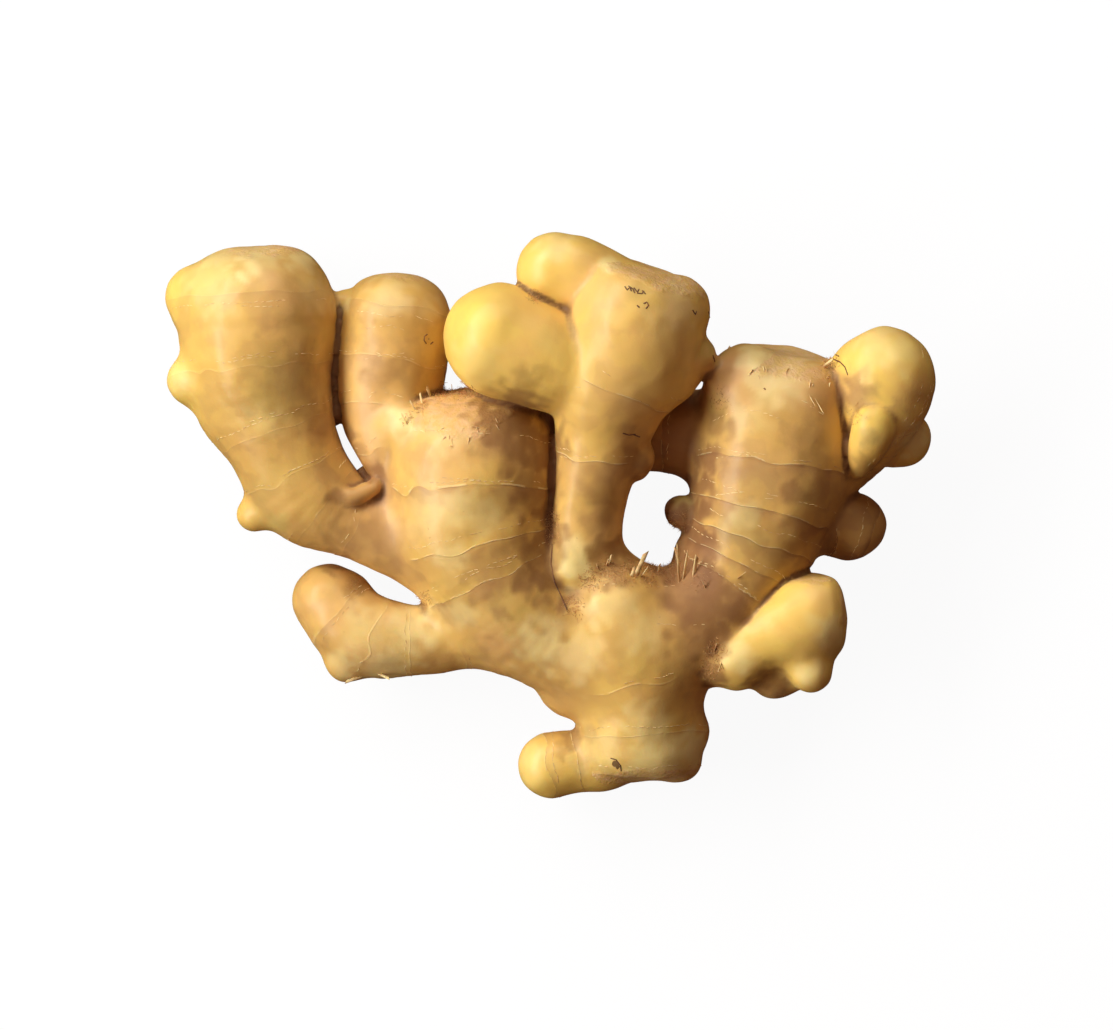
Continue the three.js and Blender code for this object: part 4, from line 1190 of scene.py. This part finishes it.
def strokeTree(material):
    graph, size = geometryTree("strokeTree", "thickness")
    curve = graph.node("GeometryNodeMeshToCurve", {}, {0: size("Geometry")})
    share = graph.node("GeometryNodeSplineParameter", output="Factor")
    radius = threads["radius"] - abs(share - 0.5) * threads["taper"]
    ring = circle(graph, threads["sides"], size("thickness"))
    return finishTree(graph, tube(graph, curve, radius, ring), material)


threadMaterial = makeDryMaterial("driedThreadAndCreaseShade", threads)
growTree(strokePaths(), strokeTree(threadMaterial), threads, threadMaterial)

scales = {
    "curl": 0.35,
    "pieces": 8, "sides": 6,
    "middle": (0.5, 0.06),  # where the bend comes, along and across
    "flatness": 0.22,
    "base": 1.04,  # the width at the base, as a share of the shred's own
    "sink": 0.3,  # how deep it is rooted, mm
    "rimFingers": ("leftPillar", "rightPillar"),  # shreds stand round these healed ends
    "rimCount": 16,
    "rimBand": (0.3, 2.4),  # how far inside the rim, mm
    "rimAbove": 17,
    "rimLength": (0.8, 1.8), "rimWidth": (0.4, 0.9),
    "rimLift": 0.2,
    "rimStray": 0.4,
    "seed": 8,
}
# Papery shreds of old scale leaf: base x and y, tip x and y, how far the tip stands off the skin, and width,
# in mm.
blades = [
    (19, -13, 21.3, -8, 4.5, 1.1), (19.4, -13.2, 20.6, -9.4, 3.4, 0.8), (18, -13.4, 18.8, -11.2, 2.2, 0.8),
    (20.2, -13.4, 21.6, -11.4, 2.4, 0.7), (13, -10.9, 13.6, -8.7, 1.6, 0.7),
    (12.4, -11.2, 12.9, -9.6, 1.2, 0.5), (28.6, -14.8, 28.2, -7, 2, 0.9),
    (29.4, -14.4, 30.4, -8.2, 1.4, 0.8), (31.8, -13.2, 32.4, -9, 2.2, 1.2),
    (28.6, -10.8, 27.6, -7.2, 2.6, 0.7), (10.6, -12, 10.2, -10.6, 1, 0.5),
    (24, -12.6, 24.4, -10.6, 1.2, 0.6), (1.4, -2.6, 3, -3.6, 1.2, 0.6), (0.6, 1.6, 2.2, -0.4, 1.4, 0.7),
    (1, -1, 2, -2.2, 1, 0.5), (-31.8, 20.2, -33, 22.6, 1.2, 0.6), (-28.6, 25, -29, 27.4, 1.4, 0.7),
    (-26.6, 26.6, -27.4, 28.8, 1.6, 0.7), (-22, 27.4, -22, 29.2, 1.4, 0.7),
    (-29.8, 23.4, -31.2, 25.6, 1.2, 0.6), (-3.6, 49, -1.4, 46.2, 1.2, 0.6),
    (-5.6, 48.4, -3, 45.8, 1.2, 0.5), (-2, 47.8, 0.8, 43.4, 1, 0.5), (-1.2, 46.4, 1.6, 42.8, 1, 0.4),
    (60.6, 33, 62.8, 34.8, 1.8, 0.8), (62.4, 32.4, 64, 31.4, 1.4, 0.6), (-42, -36, -45.6, -37.4, 1, 0.8),
    (-38.6, -35.4, -36, -36.6, 1, 0.7), (36.2, -31, 36.8, -28.6, 1.2, 0.5), (58.4, 26.6, 60.4, 23, 1, 0.4),
    (56.6, 28.2, 58.6, 24.6, 1, 0.4), (41.2, -14.2, 43.2, -12.6, 1.2, 0.4),
    (34.4, -16.2, 33.6, -14.4, 1.6, 0.5), (38, -32.4, 37.2, -34.6, 1, 0.5),
    (70, 24.4, 73.6, 22.8, 0.7, 0.3),
]


def addBlade(store, place, outward, run, width):
    store["points"].append(tuple((place - outward * scales["sink"]) * mm))
    store["outward"].append(tuple(outward))
    store["heading"].append(tuple(run.normalized()))
    store["size"].append((run.length * mm, width * mm, width * mm))


def addRimShreds(store):
    # ragged skin round each healed end, on the side that faces up
    random = np.random.default_rng(scales["seed"])
    traits = fieldAt(skinPoints, traits=True)
    low, high = scales["rimBand"]
    for number, solid in enumerate(solids):
        if solid["name"] not in scales["rimFingers"]:
            continue
        near = (traits["owner"] == number) & (traits["endDepth"] > low) & (traits["endDepth"] < high)
        places = np.nonzero(near & (skinPoints[:, 2] > scales["rimAbove"]))[0]
        for place in random.choice(places, scales["rimCount"]):
            outward = skin.data.vertices[place].normal
            run = Vector(solid["faces"][0][0]) + Vector(random.normal(0, scales["rimStray"], 3))
            run = run - outward * (run.dot(outward) - scales["rimLift"])  # nearly flat on the skin
            run = run.normalized() * random.uniform(*scales["rimLength"])
            addBlade(store, Vector(skinPoints[place]), outward, run, random.uniform(*scales["rimWidth"]))


def bladePoints():
    store = {"points": [], "edges": [], "outward": [], "heading": [], "size": []}
    for x0, y0, x1, y1, lift, width in blades:
        place, normal = topAt(x0, y0)
        if place:
            addBlade(store, place, normal, Vector((x1 - x0, y1 - y0, lift)), width)
    addRimShreds(store)
    return wireObject("dryScales", **store)


def bladeTree(material):
    graph, size = geometryTree("bladeTree", "curl")
    middle, across = scales["middle"]
    bend = graph.node("ShaderNodeCombineXYZ", {}, {0: middle, 1: across, 2: size("curl") * 0.5})
    inputs = {"Resolution": scales["pieces"], "Start": (0, 0, 0), "Middle": bend, "End": (1, 0, 0)}
    spine = graph.node("GeometryNodeCurveQuadraticBezier", {}, inputs)
    taper = scales["base"] - graph.node("GeometryNodeSplineParameter", output="Factor")
    flat = {"Geometry": circle(graph, scales["sides"], 0.5), "Scale": (scales["flatness"], 1, 1)}
    blade = tube(graph, spine, taper, graph.node("GeometryNodeTransform", {}, flat))
    turn = facing(graph, painted(graph, "heading"), painted(graph, "outward"))
    return scatter(graph, size("Geometry"), blade, turn, painted(graph, "size"), material)


growTree(bladePoints(), bladeTree(dryMaterial), scales, dryMaterial)

bristles = {
    "density": 7.0e6,  # a square metre
    "length": 1.0 * mm,
    "width": 0.055 * mm,
    "seed": 11,
    "turn": ((-1.35, -1.35, 0.0), (1.35, 1.35, 6.28)),
    "scale": ((0.8, 0.8, 0.4), (1.3, 1.3, 1.2)),
    "edge": (1.0, 0.4),  # where a spot starts and where it is full, as shares of its radius
    "above": 12,  # none grow lower than this, mm
    "colour": (0.66, 0.36, 0.13), "dry": (0.34, 0.155, 0.05), "roughness": 0.7,
}
# Where short bristles grow: x, y and radius in mm, seen from above, then how thick they stand.
fuzzSpots = [
    (5, -20, 3.2, 0.8), (9, -14, 3.4, 1), (13, -12.4, 3.4, 1), (17, -13, 3.6, 1), (22, -13, 3.4, 0.8),
    (27, -12.5, 3.6, 0.7), (33, -14.6, 3, 0.4), (36.6, -30, 3, 1), (35.6, -34, 3, 0.8), (0.4, -1, 2.4, 1),
    (0.6, -4.6, 2.2, 0.8), (-29, 24.8, 2.4, 0.7), (-24, 27.4, 2.6, 0.7), (-19, 27.6, 2.4, 0.6),
    (-31.6, 21.6, 1.8, 0.8), (-3.4, 48.6, 2, 1), (62, 33.4, 2.2, 0.8), (38, 26, 3, 0.4), (28.6, -1, 3, 0.5),
    (-28, -18.6, 2.4, 0.4), (-44, -15.4, 2, 0.5), (68, 23, 3, 0.2),
]


def bristleTree(material):
    graph, size = geometryTree("bristleTree", "density", "length", "width", "seed")
    density = painted(graph, "fuzz", "FLOAT") * size("density")
    inputs = {"Mesh": size("Geometry"), "Density": density, "Seed": size("seed")}
    spread = {"distribute_method": "RANDOM"}
    points = graph.node("GeometryNodeDistributePointsOnFaces", spread, inputs, "Points")
    turn = turnedBy(graph, points.out("Rotation"), bristles["turn"], size("seed"))
    inputs = {"Vertices": 3, "Radius Top": 0.0, "Radius Bottom": size("width"), "Depth": size("length")}
    hair = graph.node("GeometryNodeMeshCone", {"fill_type": "TRIANGLE_FAN"}, inputs, "Mesh")
    scale = randomValue(graph, bristles["scale"], size("seed"), 2)
    return scatter(graph, points, hair, turn, scale, material)


def makeBristles():
    mesh = skin.data.copy()
    mesh.name = "bristles"
    fuzz = np.zeros(len(skinPoints))
    for x, y, radius, thickness in fuzzSpots:
        distance = np.hypot(skinPoints[:, 0] - x, skinPoints[:, 1] - y) / radius
        fuzz = np.maximum(fuzz, thickness * smoothStep(*bristles["edge"], distance))
    storeAttribute(mesh, "fuzz", np.where(skinPoints[:, 2] > bristles["above"], fuzz, 0))
    material = makeDryMaterial("brownBristle", bristles)
    growTree(newObject("bristles", mesh), bristleTree(material), bristles, material)


makeBristles()

stage = {
    "floorWidth": 12.0,
    "floorGlow": 0.94,
    "floorTint": (0.07, 0.07, 0.07),
    "lampDistance": 1.4,
    "skyStrength": 0.18,
    "skyBlend": (-0.15, 0.75),  # from how low to how high the sky turns from one colour to the other
    "skyTop": (1.0, 0.60, 0.48),
    "skyLow": (0.40, 0.17, 0.10),
    "cameraHeight": 2.2,
    "frameWidth": 250.4 * mm,
    "frameCentre": (1.35 * mm, 0.11 * mm),
    "sensor": 36.0,
    "clip": (0.05, 50),
}


def makeStage():
    mesh = bpy.data.meshes.new("floor")
    half = stage["floorWidth"] / 2
    corners = [(-half, -half, 0), (half, -half, 0), (half, half, 0), (-half, half, 0)]
    mesh.from_pydata(corners, [], [(0, 1, 2, 3)])
    floor = newObject("floor", mesh)
    material, graph = Graph.ofMaterial("paleFloor")
    graph.surface({
        "Base Color": (*stage["floorTint"], 1), "Roughness": 0.9, "Specular IOR Level": 0.0,
        "Emission Color": (1, 1, 1, 1), "Emission Strength": stage["floorGlow"],
    })
    mesh.materials.append(material)
    floor.visible_diffuse = False
    floor.visible_glossy = False


# The direction each lamp stands in, its width and height in metres and its power in watts.
lamps = {
    "windowLight": ((-0.76, 0.20, 0.56), (2.60, 0.45), 31.0),
    "topLight": ((-0.05, 0.85, 0.50), (1.20, 1.20), 8.0),
}


def makeLights():
    for name, (stand, (width, height), power) in lamps.items():
        lamp = bpy.data.lights.new(name, "AREA")
        lamp.shape = "ELLIPSE"
        lamp.size = width
        lamp.size_y = height
        lamp.energy = power
        seat = newObject(name, lamp)
        direction = Vector(stand).normalized()
        seat.location = direction * stage["lampDistance"]
        seat.rotation_mode = "QUATERNION"
        seat.rotation_quaternion = direction.to_track_quat("Z", "Y")
        seat.visible_camera = False


def makeSky():
    world = bpy.data.worlds.new("studio")
    scene.world = world
    world.use_nodes = True
    graph = Graph(world.node_tree)
    direction = graph.node("ShaderNodeTexCoord", output="Generated")
    upward = graph.node("ShaderNodeSeparateXYZ", {}, {0: direction}, "Z")
    colour = graph.mix(upward.step(*stage["skyBlend"]), stage["skyLow"], stage["skyTop"])
    sky = graph.node("ShaderNodeBackground", {}, {"Color": colour, "Strength": stage["skyStrength"]})
    plain = graph.node("ShaderNodeBackground", {}, {"Color": (1, 1, 1, 1), "Strength": 1.0})
    seen = graph.node("ShaderNodeLightPath", output="Is Camera Ray")
    both = graph.node("ShaderNodeMixShader", {}, {0: seen, 1: sky, 2: plain})
    graph.node("ShaderNodeOutputWorld", {}, {"Surface": both})


def makeCamera():
    camera = bpy.data.cameras.new("camera")
    camera.sensor_width = stage["sensor"]
    camera.lens = stage["sensor"] * stage["cameraHeight"] / stage["frameWidth"]
    camera.clip_start, camera.clip_end = stage["clip"]
    seat = newObject("camera", camera)
    seat.location = (*stage["frameCentre"], stage["cameraHeight"])
    scene.camera = seat


makeStage()
makeLights()
makeSky()
makeCamera()
scene.view_settings.view_transform = "Standard"
print("stage set")

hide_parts("rhizome")
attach(skin, "root")
